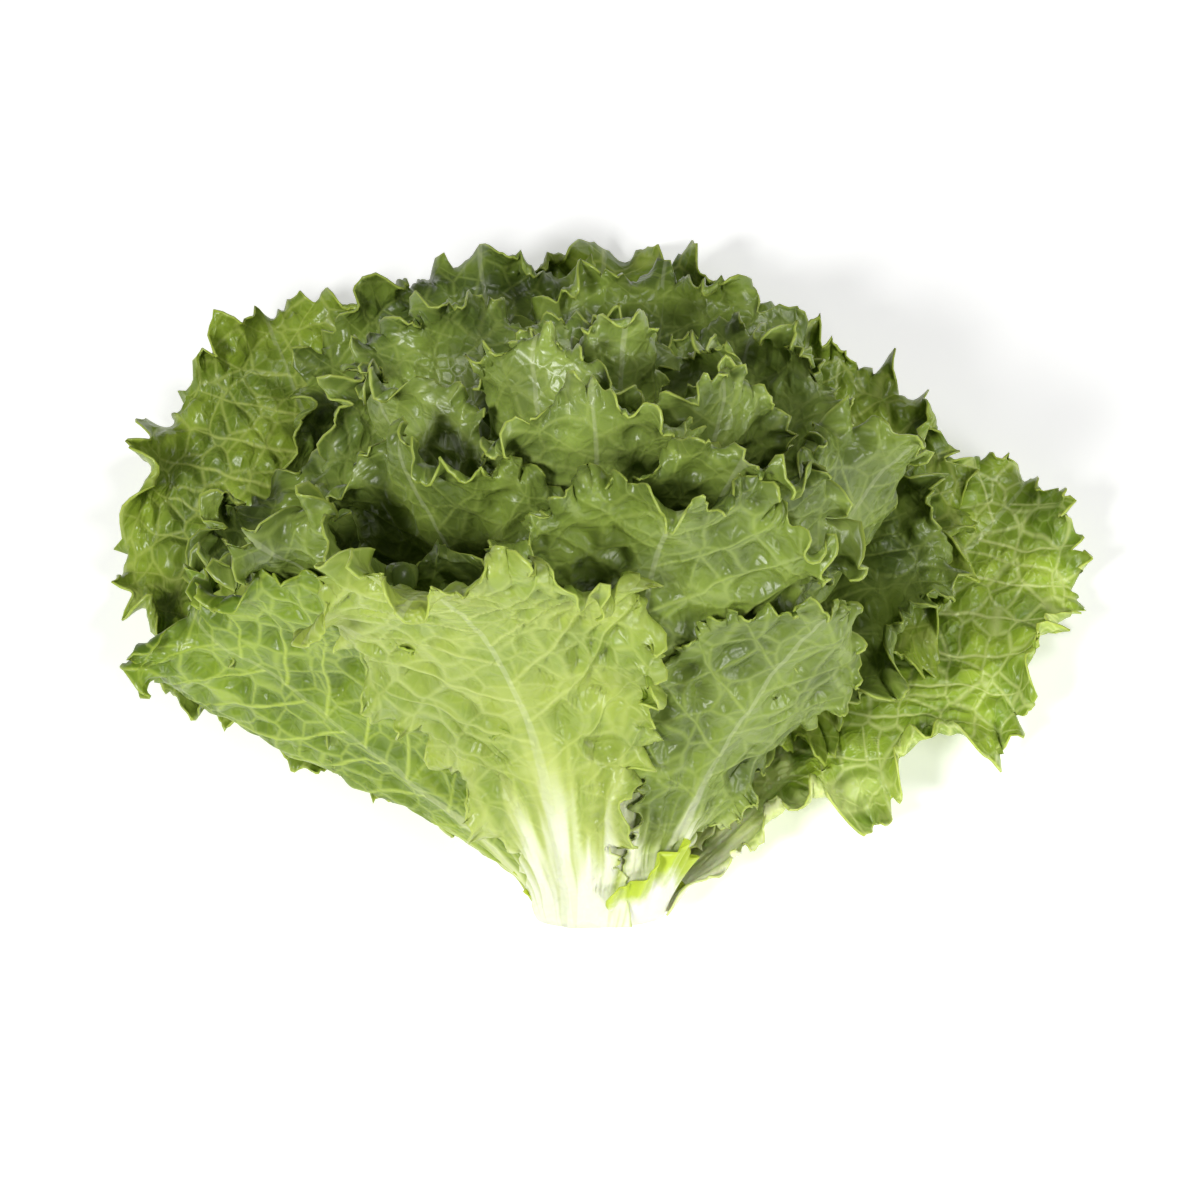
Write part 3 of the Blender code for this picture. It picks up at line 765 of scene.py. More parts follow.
def feed(tree, node, inputs):
    """Sets or links a node's inputs, listed in order or by name.

    A node that is given as an input links its first output.
    """
    for key, value in inputs.items() if isinstance(inputs, dict) else enumerate(inputs):
        if isinstance(value, bpy.types.Node):
            value = value.outputs[0]
        if isinstance(value, bpy.types.NodeSocket):
            tree.links.new(value, node.inputs[key])
        else:
            node.inputs[key].default_value = value


def add(tree, kind, inputs=(), **settings):
    """Adds a node with its settings and inputs. A kind with no prefix is a shader node."""
    made = tree.nodes.new(kind if "Node" in kind else "ShaderNode" + kind)
    for name, value in settings.items():
        setattr(made, name, value)
    feed(tree, made, inputs)
    return made


def new_material(name, values):
    """A material, its tree and its shader, with these values on the shader's own sockets."""
    made = bpy.data.materials.new(name)
    made.use_nodes = True
    shader = made.node_tree.nodes["Principled BSDF"]
    feed(made.node_tree, shader, values)
    return made, made.node_tree, shader


# %% [markdown]
# ## The veins' pattern
#
# Side veins leave the rib at a slant and curve towards the edge, a net of smaller veins fills the fields
# between them, and a finer net fills those. The pattern is worked out from the leaf's flat coordinates, which
# each vertex carries as an attribute, so it follows the leaf round every ruffle. The relief and the colours
# both need it, so one function builds it in either kind of tree.

# %% Distances to the veins
SIDE_VEIN_SPACING = 0.017
SIDE_VEIN_SLANT = 1.53
SIDE_VEIN_BEND = 1.2
SLANT_STRETCH = 1.35
FIELD_SIZE = 0.0115
SMALL_FIELD_SIZE = 0.0042
WANDER = 0.011
WANDER_SIZE = 0.026
CALM_BESIDE_RIB = 0.016


def vein_distances(tree, flat):
    """Nodes with the distance in metres to the nearest side vein, to the net's and to the fine net's."""
    noise = add(tree, "TexNoise", {"Vector": flat, "Scale": 1 / WANDER_SIZE, "Detail": 2.0})
    centred = add(tree, "VectorMath", (noise.outputs["Color"], (0.5, 0.5, 0.5)), operation="SUBTRACT")
    # Beside the rib nothing wanders, so that each side vein starts at it.
    from_rib = add(tree, "Math", (add(tree, "SeparateXYZ", (flat,)),), operation="ABSOLUTE")
    wander = add(tree, "MapRange", (from_rib, 0, CALM_BESIDE_RIB, 0, WANDER))
    wander = add(tree, "CombineXYZ", (wander, wander))
    moved = add(tree, "VectorMath", (centred, wander, flat), operation="MULTIPLY_ADD")
    across, along, _ = add(tree, "SeparateXYZ", (moved,)).outputs
    bent = add(tree, "Math", (across,), operation="ABSOLUTE")
    bent = add(tree, "Math", (bent, SIDE_VEIN_BEND), operation="POWER")
    start = add(tree, "Math", (bent, -SIDE_VEIN_SLANT, along), operation="MULTIPLY_ADD")
    # Left and right veins leave the rib by turns, so one side is half a space on.
    side = add(tree, "Math", (across, 0.0), operation="GREATER_THAN")
    stagger = add(tree, "Math", (side, SIDE_VEIN_SPACING / 2, start), operation="MULTIPLY_ADD")
    nearest = add(tree, "Math", (stagger, SIDE_VEIN_SPACING / 2), operation="PINGPONG")
    found = [add(tree, "Math", (nearest, 1 / SLANT_STRETCH), operation="MULTIPLY")]
    for size in (FIELD_SIZE, SMALL_FIELD_SIZE):
        fields = add(tree, "TexVoronoi", {"Vector": moved, "Scale": 1 / size}, feature="DISTANCE_TO_EDGE")
        found.append(add(tree, "Math", (fields.outputs["Distance"], size), operation="MULTIPLY"))
    return found


# %% Ridges of the foot
RIDGE_FAN_FROM = 0.03
RIDGE_ANGLE = 0.085
RIDGE_LENGTH = 0.05


def foot_ridges(tree, flat):
    """A node from 0 to 1 with long ridges that fan out from a point below the leaf's foot."""
    across, along, seed = add(tree, "SeparateXYZ", (flat,)).outputs
    reach = add(tree, "Math", (along, RIDGE_FAN_FROM), operation="ADD")
    angle = add(tree, "Math", (across, reach), operation="DIVIDE")
    angle = add(tree, "Math", (angle, 1 / RIDGE_ANGLE), operation="MULTIPLY")
    along = add(tree, "Math", (along, 1 / RIDGE_LENGTH), operation="MULTIPLY")
    at = add(tree, "CombineXYZ", (angle, along, seed))
    ridges = add(tree, "TexNoise", {"Vector": at, "Scale": 1.0, "Detail": 2.0})
    return add(tree, "MapRange", (ridges, 0.3, 0.7), **SOFT)


# %% [markdown]
# ## Relief: blisters and veins in Geometry Nodes
#
# Between its veins the blade of leaf lettuce grows faster than they do, so it bulges into small pillows on
# its face, and the veins stand out on its back. The node tree moves every vertex along the blade's own
# direction by that pattern. It could be bump in the material alone, but real bulges catch the light and
# change the outline of a fold. The tree's sizes are its inputs, so tender inner leaves can be smoother.

# %% The relief tree
RELIEF_SIZES = {
    "Blister Height": 0.0038,
    "Blister Width": 0.0046,
    "Vein Height": 0.0006,
    "Vein Width": 0.0013,
    "Sway": 0.0090,
    "Sway Size": 0.034,
    "Crinkle": 0.0025,
    "Crinkle Size": 0.0110,
    "Foot Ridge": 0.0016,
    "Seed": 0.0,
}
NO_LIMIT = -9.0


def relief_tree():
    tree = bpy.data.node_groups.new("leaf_relief", "GeometryNodeTree")
    for side in ("INPUT", "OUTPUT"):
        tree.interface.new_socket("Geometry", in_out=side, socket_type="NodeSocketGeometry")
    for name, value in RELIEF_SIZES.items():
        tree.interface.new_socket(name, in_out="INPUT", socket_type="NodeSocketFloat").default_value = value
    tree.interface.new_socket("Material", in_out="INPUT", socket_type="NodeSocketMaterial")
    given = add(tree, "NodeGroupInput").outputs
    kinds = {"flat": "FLOAT_VECTOR", "way": "FLOAT_VECTOR", "grown": "FLOAT_VECTOR", "back": "FLOAT"}
    flat, way, grown, back = (add(tree, "GeometryNodeInputNamedAttribute", {"Name": name}, data_type=kind)
                              for name, kind in kinds.items())
    along, from_edge, from_rib = add(tree, "SeparateXYZ", (grown,)).outputs
    side_vein, field, _ = vein_distances(tree, flat)

    # Where each part of the relief is held down: near the edge, at the foot, beside the rib.
    inside = add(tree, "MapRange", (from_edge, 0.001, 0.016), **SOFT)
    above_foot = add(tree, "MapRange", (along, 0.10, 0.42), **SOFT)
    beside_rib = add(tree, "MapRange", (from_rib, 0.002, 0.012), **SOFT)
    low = add(tree, "MapRange", (along, 0.15, 0.55, 1, 0), **SOFT)
    off_stem = add(tree, "MapRange", (along, 0.02, 0.10), **SOFT)

    # The whole blade sways in and out a little, as a soft sheet does, with crinkles a few millimetres wide.
    seeded = add(tree, "CombineXYZ", {2: given["Seed"]})
    seeded = add(tree, "VectorMath", (flat, seeded), operation="ADD")
    parts = []
    for name, place, detail, roughness in (("Sway", seeded, 2.0, 0.45), ("Crinkle", flat, 1.5, 0.5)):
        scale = add(tree, "Math", (1.0, given[name + " Size"]), operation="DIVIDE")
        noise = add(tree, "TexNoise",
                    {"Vector": place, "Scale": scale, "Detail": detail, "Roughness": roughness})
        noise = add(tree, "Math", (noise, 0.5), operation="SUBTRACT")
        parts.append((noise, given[name], above_foot))

    # A pillow rises from the nearest vein of either kind, towards the face. Veins are ridges on the back
    # alone, which thin out towards the edge, and long ridges fan out from the foot.
    nearest = add(tree, "Math", (side_vein, field), operation="MINIMUM")
    pillow = add(tree, "MapRange", (nearest, 0, given["Blister Width"]), interpolation_type="SMOOTHERSTEP")
    ridge = add(tree, "MapRange", (side_vein, 0, given["Vein Width"], 1, 0), **SOFT)
    parts.append((inside, above_foot, beside_rib, pillow, given["Blister Height"], -1.0))
    parts.append((ridge, inside, back, given["Vein Height"]))
    parts.append((foot_ridges(tree, flat), low, off_stem, given["Foot Ridge"]))

    total = 0.0
    for part, *factors in parts:
        for factor in factors:
            part = add(tree, "Math", (part, factor), operation="MULTIPLY")
        total = add(tree, "Math", (total, part), operation="ADD")
    offset = add(tree, "VectorMath", {0: way, "Scale": total}, operation="SCALE")
    moved = add(tree, "GeometryNodeSetPosition", {"Geometry": given["Geometry"], "Offset": offset})

    # The table stops what would sink into it.
    position = add(tree, "GeometryNodeInputPosition")
    lowest = add(tree, "VectorMath", (position, (NO_LIMIT, NO_LIMIT, TABLE_GAP)), operation="MAXIMUM")
    rested = add(tree, "GeometryNodeSetPosition", {"Geometry": moved, "Position": lowest})
    realized = add(tree, "GeometryNodeRealizeInstances", (rested,))
    finished = add(tree, "GeometryNodeSetMaterial", {"Geometry": realized, "Material": given["Material"]})
    add(tree, "NodeGroupOutput", (finished,))
    return tree


RELIEF = relief_tree()
print("relief tree with", len(RELIEF.nodes), "nodes")


# %% Run a tree on an object
def apply_tree(piece, tree, values):
    """Gives the piece the mesh that the tree makes from it, and leaves no modifier behind."""
    modifier = piece.modifiers.new(tree.name, "NODES")
    modifier.node_group = tree
    for item in tree.interface.items_tree:
        if item.in_out == "INPUT" and item.name in values:
            modifier[item.identifier] = values[item.name]
    evaluated = piece.evaluated_get(bpy.context.evaluated_depsgraph_get())
    result = bpy.data.meshes.new_from_object(evaluated)
    result.name = piece.name
    piece.modifiers.remove(modifier)
    old, piece.data = piece.data, result
    bpy.data.meshes.remove(old)


# %% [markdown]
# ## Leaf skin
#
# A lettuce blade is two thin wax-coated skins with wet green tissue between them, so it has a soft, broken
# shine and glows where light comes from behind it. The colour runs from cream at the rib's foot through pale
# green to full green, with pale veins, and a thin yellow-green line along the edge, partly because there is
# hardly any green tissue there and partly as a painted highlight on the rim. The back is paler than the face.
# The left, inner and heart skins also carry painted shade, and the right skin painted light.

# %% The leaf's material
SKIN_ROUGHNESS = 0.31
LEAF_IOR = 1.42
CLOUD_SIZE = 0.020
GRAIN_SIZE = 0.0016
VEIN_HALF_AT_EDGE = 0.0004
VEIN_HALF_INSIDE = 0.0011
VEINS_FULL_FROM = 0.05
NET_HALF = 0.0010
FINE_NET_HALF = 0.0006
RIB_HALF_AT_FOOT = 0.0046
RIB_HALF_ABOVE = 0.0010
PALE_BESIDE_RIB = 0.020
EDGE_LINE_AND_HIGHLIGHT = 0.0009


def leaf_skin(name, colours, base_until, veining):
    """Waxed lettuce leaf, grown: matt, thin and lit through, with pale veins and a light edge."""
    made, tree, shader = new_material(name, {
        "IOR": LEAF_IOR,
        "Subsurface Weight": 0.20,
        "Subsurface Radius": (0.8, 1.0, 0.2),
        "Subsurface Scale": 0.0011,
    })
    green, deep, pale, rim, cream = (linear(colour) for colour in colours.split())
    flat, grown, back = (add(tree, "Attribute", attribute_name=kept).outputs
                         for kept in ("flat", "grown", "back"))
    flat = flat["Vector"]
    along, from_edge, from_rib = add(tree, "SeparateXYZ", (grown["Vector"],)).outputs
    side_vein, field, small_field = vein_distances(tree, flat)

    # Mottling from cloud to cloud of tissue.
    cloud = add(tree, "TexNoise", {"Vector": flat, "Scale": 1 / CLOUD_SIZE, "Detail": 2.0})
    mottle = add(tree, "MapRange", (cloud, 0.35, 0.65, 0, 0.85))

    # Veins are thinner and fainter near the edge. The nets between them are fainter still.
    width = add(tree, "MapRange", (from_edge, 0, VEINS_FULL_FROM, VEIN_HALF_AT_EDGE, VEIN_HALF_INSIDE))
    strength = add(tree, "MapRange", (from_edge, 0, VEINS_FULL_FROM, veining * 0.45, veining))
    veins = add(tree, "MapRange", (side_vein, 0, width, strength, 0), **SOFT)
    for distance, half, share in ((field, NET_HALF, 0.55), (small_field, FINE_NET_HALF, 0.16)):
        line = add(tree, "MapRange", (distance, 0, half, veining * share, 0), **SOFT)
        veins = add(tree, "Math", (veins, line), operation="MAXIMUM")

    # The back is paler, because the tissue there is looser and holds air.
    bloom = add(tree, "Math", (back["Fac"], 0.11), operation="MULTIPLY")

    # Towards the foot, and for a way up beside the rib, the tissue has next to no green in it.
    near_rib = add(tree, "MapRange", (from_rib, 0, PALE_BESIDE_RIB, 0.05, 0), **SOFT)
    streak = add(tree, "MapRange", (foot_ridges(tree, flat), 0, 1, 0.12, -0.12))
    height = add(tree, "Math", (along, near_rib), operation="SUBTRACT")
    height = add(tree, "Math", (height, streak), operation="ADD")
    foot = add(tree, "MapRange", (height, base_until * 0.3, base_until, 0.8, 0), **SOFT)
    lowest = add(tree, "MapRange", (height, -0.02, base_until * 0.58, 1, 0), **SOFT)
    rib_half = add(tree, "MapRange", (along, 0, 0.50, RIB_HALF_AT_FOOT, RIB_HALF_ABOVE))
    rib_core = add(tree, "Math", (rib_half, 0.55), operation="MULTIPLY")
    rib = add(tree, "MapRange", (from_rib, rib_core, rib_half, 0.9, 0), **SOFT)
    fading = add(tree, "MapRange", (along, 0.08, 0.36, 0.9, 0.17))
    rib = add(tree, "Math", (rib, fading), operation="MULTIPLY")
    white = add(tree, "Math", (lowest, rib), operation="MAXIMUM")
    # A thin light line along the edge: partly the edge's own colour, where there is hardly any green tissue,
    # partly a painted highlight on the rim.
    edge = add(tree, "MapRange", (from_edge, 0.0001, EDGE_LINE_AND_HIGHLIGHT, 0.62, 0), **SOFT)

    # Each colour lies over the ones before it.
    skin = green
    layers = ((mottle, deep), (veins, pale), (bloom, pale), (foot, pale), (white, cream), (edge, rim))
    for share, colour in layers:
        skin = add(tree, "Mix", {0: share, 6: skin, 7: colour}, data_type="RGBA").outputs[2]

    # Wax shines unevenly, and the fine net leaves a crinkle too small for the mesh.
    gloss = add(tree, "MapRange", (cloud, 0, 1, SKIN_ROUGHNESS - 0.08, SKIN_ROUGHNESS + 0.12))
    crinkle = add(tree, "MapRange", (small_field, 0, 0.0012), **SOFT)
    grain = add(tree, "TexNoise", {"Vector": flat, "Scale": 1 / GRAIN_SIZE, "Detail": 2.0})
    height = add(tree, "Math", (grain, 0.5, crinkle), operation="MULTIPLY_ADD")
    bump = add(tree, "Bump", {"Strength": 0.40, "Distance": 0.0005, "Height": height})
    feed(tree, shader, {"Base Color": skin, "Roughness": gloss, "Normal": bump})
    return made


# Each skin's green, deep green, pale green, edge and cream, how far up its foot is pale, and how clear its
# veins are.
SKIN_LOOKS = {
    "outer": ("lettuce_leaf_outer", "#8ca334 #5f7624 #bfcc6c #b8c955 #eef0d0", 0.34, 0.80),
    "front": ("lettuce_leaf_pale_front", "#9cae47 #7b9334 #c6d278 #b6c65a #eef1d8", 0.36, 0.55),
    # The left skin is greener and darker: partly the leaf's own colour, partly painted shade of the recess
    # beside the front leaf.
    "left": ("lettuce_leaf_left_painted_shade", "#79932a #526e1c #b0c450 #a9bb48 #e0e8a8", 0.26, 0.90),
    # The right skin's greens are the leaf's own, lightened with painted light where the leaf is turned from
    # the main light; its clear veins are its own.
    "right": ("lettuce_leaf_right_painted_light", "#a5be3f #74922a #e0ea98 #c3d25a #f0f2d6", 0.40, 1.0),
    # The inner and heart skins' greens are partly their own and partly darkened with painted shade, the shade
    # deep inside the head.
    "inner": ("lettuce_leaf_inner_painted_shade", "#788d36 #445720 #a6b85e #adbd52 #e9edca", 0.30, 0.60),
    "heart": ("lettuce_leaf_heart_painted_shade", "#889e44 #54682a #b0c068 #bac95c #eef0d2", 0.28, 0.55),
}
SKINS = {skin: leaf_skin(*looks) for skin, looks in SKIN_LOOKS.items()}
print("leaf skins:", ", ".join(SKINS))


# %% [markdown]
# ## The fine leaves
#
# Each leaf is now made twice over on the fine net: the points of its middle surface, then a back and a face
# on either side of it, with the rib standing out on the back, joined by a rim. Every vertex carries its flat
# coordinates, its share of the length, its distances from the edge and the rib, and the blade's direction,
# which the relief and the colours read.

# %% The fine net
# Rows up to the margin, rows over the margin, and columns at the edge.
LARGE_NET = (26, 21, 512)
SMALL_NET = (18, 15, 384)


def fine_rows(large):
    """Rows of the fine net: s and number of columns, closer and finer towards the edge."""
    inner, outer, finest = LARGE_NET if large else SMALL_NET
    shares = [*np.linspace(0, MARGIN_ROW, inner), *np.linspace(MARGIN_ROW, 1, outer)[1:]]
    return [(float(share), finest // (4 if share < 0.34 else 2 if share < 0.86 else 1)) for share in shares]


def fine_strip(columns):
    """Columns across the rib at each row from the base up: many at the wide foot, and none at the top."""
    rows = columns // 2
    return tuple(8 if k < rows * 0.5 else 4 if k < rows * 0.75 else 2 for k in range(rows)) + (0,)


# %% Ease the small ruffles apart
SMALL_KEPT = 0.38
SMALL_ROUNDS = 8
SMALL_EASED_TO = 0.75
SMALL_STEP = 0.08
SMALL_SPREAD = 3
ROOT_RUN = 0.014
ROOT_DEPTH = 0.0034
ROOT_RIB = 0.25
FRILLS_TURN_UP_BELOW = 0.016
KEPT_AT_TABLE = 0.85


class Sheet:
    """A leaf's fine middle surface, with how free its small ruffles are."""

    def __init__(self, blade):
        leaf = self.leaf = blade.leaf
        rows = fine_rows(leaf.rank in LARGE_RANKS)
        places = np.arange(rows[-1][1] + 1) * leaf.columns / rows[-1][1]
        column_at = np.interp(places, np.arange(leaf.columns + 1), leaf.column_at)
        t, s, self.triangles, self.loop = net(rows, fine_strip(rows[0][1]), column_at)
        self.flat, way, self.inside, column = flat_place(leaf, t, s, fine=True)
        self.here, self.normal, self.outward = directions(leaf, self.flat[:, 0], self.flat[:, 1], way)
        # Beside the table, small frills can only turn up.
        low = smooth(1 - self.here[:, 2] / FRILLS_TURN_UP_BELOW)
        upwards = np.sign(self.normal[:, 2])
        lobe, *small = rolls_of(leaf, t, column, fine=True)
        self.rolls = [lobe] + [(curl + (np.abs(curl) * upwards - curl) * low, reach) for curl, reach in small]
        self.half, self.rib = thickness_of(leaf, t, s, fine=True)
        foot = smooth(self.flat[:, 1] / ROOT_RUN)
        self.rib = self.rib * (ROOT_RIB + (1 - ROOT_RIB) * foot)
        self.large_free = blade.at(blade.free, t, s)
        self.small_free = np.maximum(self.large_free ** SMALL_KEPT, KEPT_AT_TABLE * low)
        # Below its foot the leaf runs into the stem that it grew from.
        self.push = blade.at(blade.push, t, s) * foot - ROOT_DEPTH * (1 - foot)

    def points(self):
        free = [self.large_free, self.small_free, self.small_free]
        out, up = rolled(self.rolls, self.inside, free)
        return self.here + out[:, None] * self.outward + (up + self.push)[:, None] * self.normal

    def settle(self, places):
        """Flattens the small ruffles at these vertices, and less and less so at those around them."""
        self.small_free[places] *= SMALL_EASED_TO
        for _ in range(SMALL_SPREAD):
            self.small_free = in_step(self.small_free, self.triangles, np.min, SMALL_STEP)


def ease_small(sheets):
    """Flattens small ruffles where the fine sheets cross each other or the table."""
    for number in range(SMALL_ROUNDS):
        surfaces = [(sheet.points(), sheet.triangles) for sheet in sheets]
        wanted = [set(np.nonzero(points[:, 2] < TABLE_GAP)[0]) for points, _ in surfaces]
        found = 0
        for i, j, one, other in crossings(surfaces, itself=False):
            found += len(one) + len(other)
            wanted[i].update(one)
            wanted[j].update(other)
        print("round", number + 1, "vertices where sheets cross:", found)
        for sheet, places in zip(sheets, wanted):
            if places:
                sheet.settle(np.array(sorted(places)))


sheets = [Sheet(blade) for blade in blades]
ease_small(sheets)


# %% Close a leaf
SEED_STEP = 0.37
OUTER_RANKS = range(0, 6)
INNER_RANKS = range(6, 16)
OWN_SKINS = {"front_leaf": "front", "left_leaf": "left", "right_leaf": "right"}


def placed(name, data):
    """A new object in the scene."""
    made = bpy.data.objects.new(name, data)
    bpy.context.scene.collection.objects.link(made)
    return made


def new_piece(name, points, faces):
    """A new object with a smooth mesh of these points and faces."""
    mesh = bpy.data.meshes.new(name)
    mesh.from_pydata(points.tolist(), [], faces)
    mesh.shade_smooth()
    return placed(name, mesh)


def keep(piece, name, values):
    """Keeps a number or a vector for each vertex as an attribute of the piece."""
    kind, field = ("FLOAT", "value") if values.ndim == 1 else ("FLOAT_VECTOR", "vector")
    attribute = piece.data.attributes.new(name, kind, "POINT")
    attribute.data.foreach_set(field, values.astype(np.float32).ravel())


def make_leaf(sheet):
    leaf, flat, triangles = sheet.leaf, sheet.flat, sheet.triangles
    points = sheet.points()
    normals = vertex_normals(points, triangles)
    back = points + normals * (sheet.half + sheet.rib * sheet.large_free)[:, None]
    face = points - normals * sheet.half[:, None]
    vertices, faces = closed(back, face, triangles, sheet.loop)
    piece = new_piece(leaf.name + "_blade", vertices + SHIFT, faces[:, ::-1].tolist())
    seeded = np.stack([flat[:, 0], flat[:, 1], np.full(len(flat), leaf.rank * SEED_STEP)], -1)
    grown = np.stack([flat[:, 1] / leaf.length, sheet.inside, np.abs(flat[:, 0])], -1)
    for name, values in (("flat", seeded), ("grown", grown), ("way", normals)):
        keep(piece, name, np.concatenate([values, values]))
    keep(piece, "back", np.repeat([1.0, 0.0], len(flat)))
    return piece


def skin_of(leaf):
    general = "outer" if leaf.rank in OUTER_RANKS else "inner" if leaf.rank in INNER_RANKS else "heart"
    return SKINS[OWN_SKINS.get(leaf.name, general)]


total = 0
for sheet in sheets:
    leaf = sheet.leaf
    piece = make_leaf(sheet)
    tender = 0.55 + 0.45 * leaf.layer
    own = {name: RELIEF_SIZES[name] * tender for name in ("Blister Height", "Vein Height")}
    own.update({"Seed": leaf.rank * SEED_STEP, "Material": skin_of(leaf)})
    apply_tree(piece, RELIEF, RELIEF_SIZES | own)
    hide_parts(leaf.name)
    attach(piece, "root")
    total += len(piece.data.polygons)
print("fine leaves:", total, "triangles in all")


# %% [markdown]
# ## The stem
#
# The stem is the pale core that every leaf grew from. Where the head was cut, its end is flat and wet, and it
# browns a little at the rim and in spots within minutes. Its side carries low ridges where old leaves broke
# off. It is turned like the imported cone, with many more sides and the ridges added by formula.

# %% Stem flesh
FLESH_CLOUD_SIZE = 0.012
RUST_SPOT_SIZE = 0.006


def stem_flesh():
    """Lettuce stem, cut: wet, cream white, lit through, with rust-brown spots where it has dried."""
    made, tree, shader = new_material("lettuce_stem_flesh", {
        "Roughness": 0.38,
        "IOR": LEAF_IOR,
        "Subsurface Weight": 0.4,
        "Subsurface Radius": (1.0, 1.0, 0.5),
        "Subsurface Scale": 0.003,
    })
    place = add(tree, "TexCoord").outputs["Object"]
    cloud = add(tree, "TexNoise", {"Vector": place, "Scale": 1 / FLESH_CLOUD_SIZE, "Detail": 3.0})
    green = add(tree, "MapRange", (cloud, 0.45, 0.75, 0, 0.5))
    spots = add(tree, "TexNoise", {"Vector": place, "Scale": 1 / RUST_SPOT_SIZE, "Detail": 4.0})
    brown = add(tree, "MapRange", (spots, 0.66, 0.76, 0, 0.7))
    flesh = linear("#f6f7e8")
    for share, colour in ((green, "#dfe6b4"), (brown, "#c9a86a")):
        flesh = add(tree, "Mix", {0: share, 6: flesh, 7: linear(colour)}, data_type="RGBA").outputs[2]
    bump = add(tree, "Bump", {"Strength": 0.3, "Distance": 0.0005, "Height": cloud})
    feed(tree, shader, {"Base Color": flesh, "Normal": bump})
    return made


# %% Turn the stem
STEM_SIDES = 72
STEM_RINGS = 40
RIDGE = 0.0005
# Rings of the cut end: height, and share of the stem's radius.
CUT_RINGS = ((0, 0.0), (0, 0.45), (0, 0.80), (0.0002, 0.94), (0.0007, 0.985), (0.0014, 1.0))


def face_outwards(mesh):
    """Merges the points that lie in one place, and turns the faces outwards."""
    work = bmesh.new()
    work.from_mesh(mesh)
    bmesh.ops.remove_doubles(work, verts=work.verts, dist=1e-6)
    bmesh.ops.recalc_face_normals(work, faces=work.faces)
    work.to_mesh(mesh)
    work.free()


def make_stem():
    cut, shares = zip(*CUT_RINGS)
    heights = np.concatenate([cut, np.linspace(0.003, 0.070, STEM_RINGS), [STEM_LENGTH] * 2])
    shares = np.concatenate([shares, np.ones(STEM_RINGS), [0.55, 0.0]])
    turns = np.arange(STEM_SIDES) * 2 * math.pi / STEM_SIDES
    ridges = [RIDGE * np.cos(5 * turns + 260 * height) * smooth(height / 0.004) for height in heights]
    reaches = [(stem_radius(height) + ridge) * share for height, ridge, share in zip(heights, ridges, shares)]
    points, faces = turned_shape(heights, reaches)
    piece = new_piece("stem_core", points + SHIFT, faces.tolist())
    face_outwards(piece.data)
    piece.data.materials.append(stem_flesh())
    return piece


stem = make_stem()
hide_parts("stem")
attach(stem, "root")
print("stem:", len(stem.data.polygons), "faces")


# %% [markdown]
# ## Torn stubs
#
# The lowest leaves were pulled off when the head was trimmed. Each left a short stub of its foot round the
# stem, with a torn, frilled edge where some yellow-green tissue is left. A stub is a strip bent round the
# stem, a little way out from it, whose upper edge is ragged and waves in and out.

# %% Stub skin
STUB_CLOUD_SIZE = 0.006


def stub_skin():
    """Foot of a torn-off lettuce leaf: cream and fleshy below, thin and yellow-green at the torn edge."""
    made, tree, shader = new_material("lettuce_leaf_stub", {
        "Roughness": 0.40,
        "IOR": LEAF_IOR,
        "Subsurface Weight": 0.35,
        "Subsurface Radius": (1.0, 1.0, 0.4),
        "Subsurface Scale": 0.002,
    })
    share = add(tree, "Attribute", attribute_name="grown").outputs["Fac"]
    place = add(tree, "TexCoord").outputs["Object"]
    cloud = add(tree, "TexNoise", {"Vector": place, "Scale": 1 / STUB_CLOUD_SIZE, "Detail": 3.0})
    height = add(tree, "Math", (cloud, 0.8, share), operation="MULTIPLY_ADD")
    green = add(tree, "MapRange", (height, 0.75, 1.25), **SOFT)
    skin = add(tree, "Mix", {0: green, 6: linear("#f6f7e4"), 7: linear("#bdd242")}, data_type="RGBA")
    bump = add(tree, "Bump", {"Strength": 0.4, "Distance": 0.0006, "Height": cloud})
    feed(tree, shader, {"Base Color": skin.outputs[2], "Normal": bump})
    return made


# %% Make the stubs
STUB_BLADE = 0.0009
STUB_GAP = 0.0008
STUB_FOOT = 0.0012
STUB_FRILL = 0.0022
STUB_COLUMNS = 64
STUB_ROWS = 14
STUBS = {
    "right_stub": dict(middle=49, half_turn=47, height=0.027, splay=0.36, seed=3),
    "left_stub": dict(middle=-88, half_turn=30, height=0.015, splay=0.30, seed=8),
}


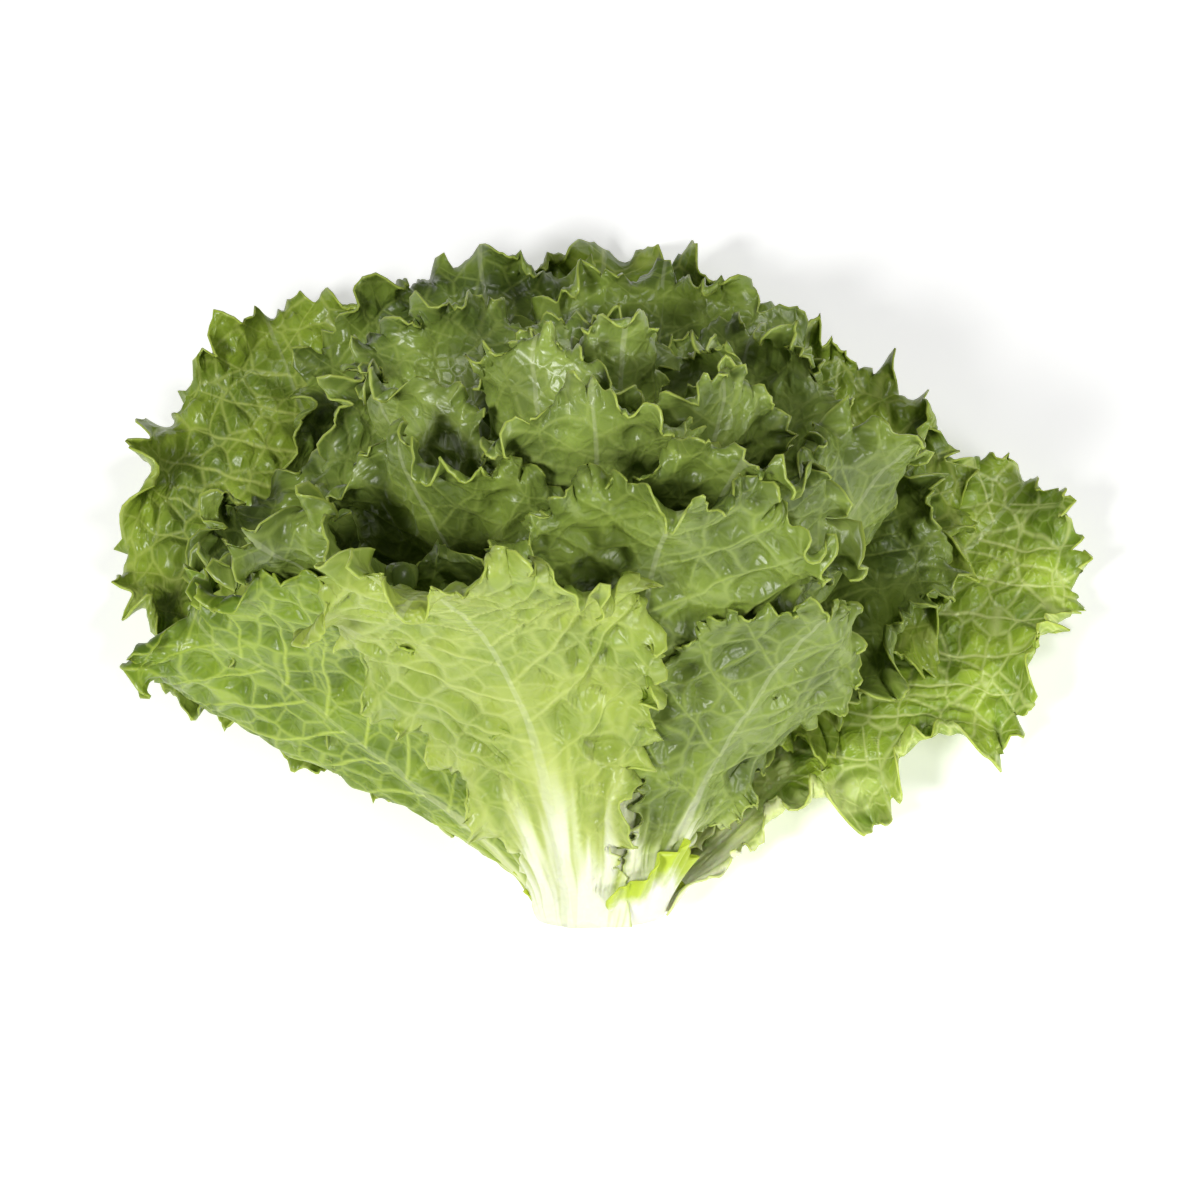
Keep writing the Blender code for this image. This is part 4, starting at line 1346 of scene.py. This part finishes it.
def make_stub(name, middle, half_turn, height, splay, seed):
    phases = np.random.default_rng(seed).uniform(0, 2 * math.pi, 6)
    u = np.linspace(-1, 1, STUB_COLUMNS + 1)
    v = np.linspace(0, 1, STUB_ROWS + 1)[:, None]
    ragged = sum(np.sin((3 + 4 * k) * u + phase) / (1 + k) for k, phase in enumerate(phases[:4]))
    along = v * (height * (1 - 0.6 * np.abs(u) ** 3) * (0.82 + 0.14 * ragged))
    turn = np.radians(middle + half_turn * u)[None, :]
    frill = STUB_FRILL * v ** 2 * (1 + np.sin(13 * u + phases[4]) + 0.6 * np.sin(29 * u + phases[5]))
    middle_radius = BUTT_RADIUS + STUB_GAP + frill + splay * along
    sides = []
    for radius in (middle_radius + STUB_BLADE + 0.0006 * smooth(1 - v),
                   middle_radius - 0.0014 * smooth(1 - v / 0.4)):
        side = from_axis(STUB_FOOT + along, radius * np.cos(turn), radius * np.sin(turn))
        sides.append(np.stack(side, -1).reshape(-1, 3))
    number = np.arange((STUB_ROWS + 1) * (STUB_COLUMNS + 1)).reshape(STUB_ROWS + 1, STUB_COLUMNS + 1)
    a, b, c, d = (x.ravel() for x in (number[:-1, :-1], number[:-1, 1:], number[1:, 1:], number[1:, :-1]))
    triangles = np.concatenate([np.stack([a, b, c], -1), np.stack([a, c, d], -1)])
    loop = [*number[0, :-1], *number[:-1, -1], *number[-1, :0:-1], *number[:0:-1, 0]]
    points, faces = closed(*sides, triangles, [int(k) for k in loop])
    points[:, 2] = np.maximum(points[:, 2], TABLE_GAP)
    piece = new_piece(name, points + SHIFT, faces.tolist())
    face_outwards(piece.data)
    keep(piece, "grown", np.tile(np.repeat(v, STUB_COLUMNS + 1), 2))
    piece.data.materials.append(STUB_SKIN)
    return piece


STUB_SKIN = stub_skin()
for name, sizes in STUBS.items():
    stub = make_stub(name, **sizes)
    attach(stub, "root")
    print(name, len(stub.data.polygons), "faces")


# %% [markdown]
# ## Floor, light and camera
#
# The head lies on a white table between three soft lights: the main one at the front left, a weaker one at
# the front right, and the weakest above. The white surroundings fill the shadows a little. The camera looks
# down at the head from the stem's end.

# %% Stage
FLOOR_HALF = 4.0
CORNERS = np.array([(-1, -1, 0), (1, -1, 0), (1, 1, 0), (-1, 1, 0)])
WHITE = linear("#ffffff")
floor = new_piece("table_top", CORNERS * FLOOR_HALF, [(0, 1, 2, 3)])
# White matt card, pressed: it scatters what falls on it, and glows a little, as paper does in a bright room.
floor.data.materials.append(new_material("white_matt_card", {
    "Base Color": linear("#f7f7f6"),
    "Roughness": 0.9,
    "Emission Color": WHITE,
    "Emission Strength": 0.33,
})[0])

world = bpy.data.worlds.new("white_room")
bpy.context.scene.world = world
world.use_nodes = True
surroundings = world.node_tree.nodes["Background"].inputs
surroundings["Color"].default_value = WHITE
surroundings["Strength"].default_value = 0.10

# %% Lights
HEAD_MIDDLE = (0.0, -0.02, 0.04)
# Each light's place, what it looks at, its width and its power.
LIGHTS = {
    "soft_front": ((-0.70, -0.75, 1.05), HEAD_MIDDLE, 0.34, 14.5),
    "soft_right": ((0.85, -0.70, 0.60), HEAD_MIDDLE, 0.50, 7.0),
    "soft_top": ((0.55, 0.20, 1.30), (0.05, 0.0, 0.04), 0.35, 4.8),
}


def aim(holder, place, way):
    """Puts a light or a camera in its place, looking this way."""
    holder.location = place
    holder.rotation_mode = "QUATERNION"
    holder.rotation_quaternion = way.to_track_quat("-Z", "Y")


for name, (place, target, size, power) in LIGHTS.items():
    light = bpy.data.lights.new(name, "AREA")
    light.shape = "DISK"
    light.size = size
    light.energy = power
    aim(placed(name, light), place, Vector(target) - Vector(place))
print(len(LIGHTS), "soft lights and a white room")

# %% Camera
CAMERA_ELEVATION = math.radians(62)
CAMERA_DISTANCE = 1.045
CAMERA_LENS = 95.0
CAMERA_SENSOR = 36.0
PLAN_AIM = (-0.001, 0.1029, 0.0386)

back_way = Vector((0.0, -math.cos(CAMERA_ELEVATION), math.sin(CAMERA_ELEVATION)))
camera = placed("camera", bpy.data.cameras.new("camera"))
camera.data.lens = CAMERA_LENS
camera.data.sensor_width = CAMERA_SENSOR
aim(camera, Vector(PLAN_AIM) + Vector(SHIFT) + back_way * CAMERA_DISTANCE, -back_way)
bpy.context.scene.camera = camera
bpy.context.scene.view_settings.view_transform = "Standard"
print("camera at", tuple(round(v, 3) for v in camera.location))
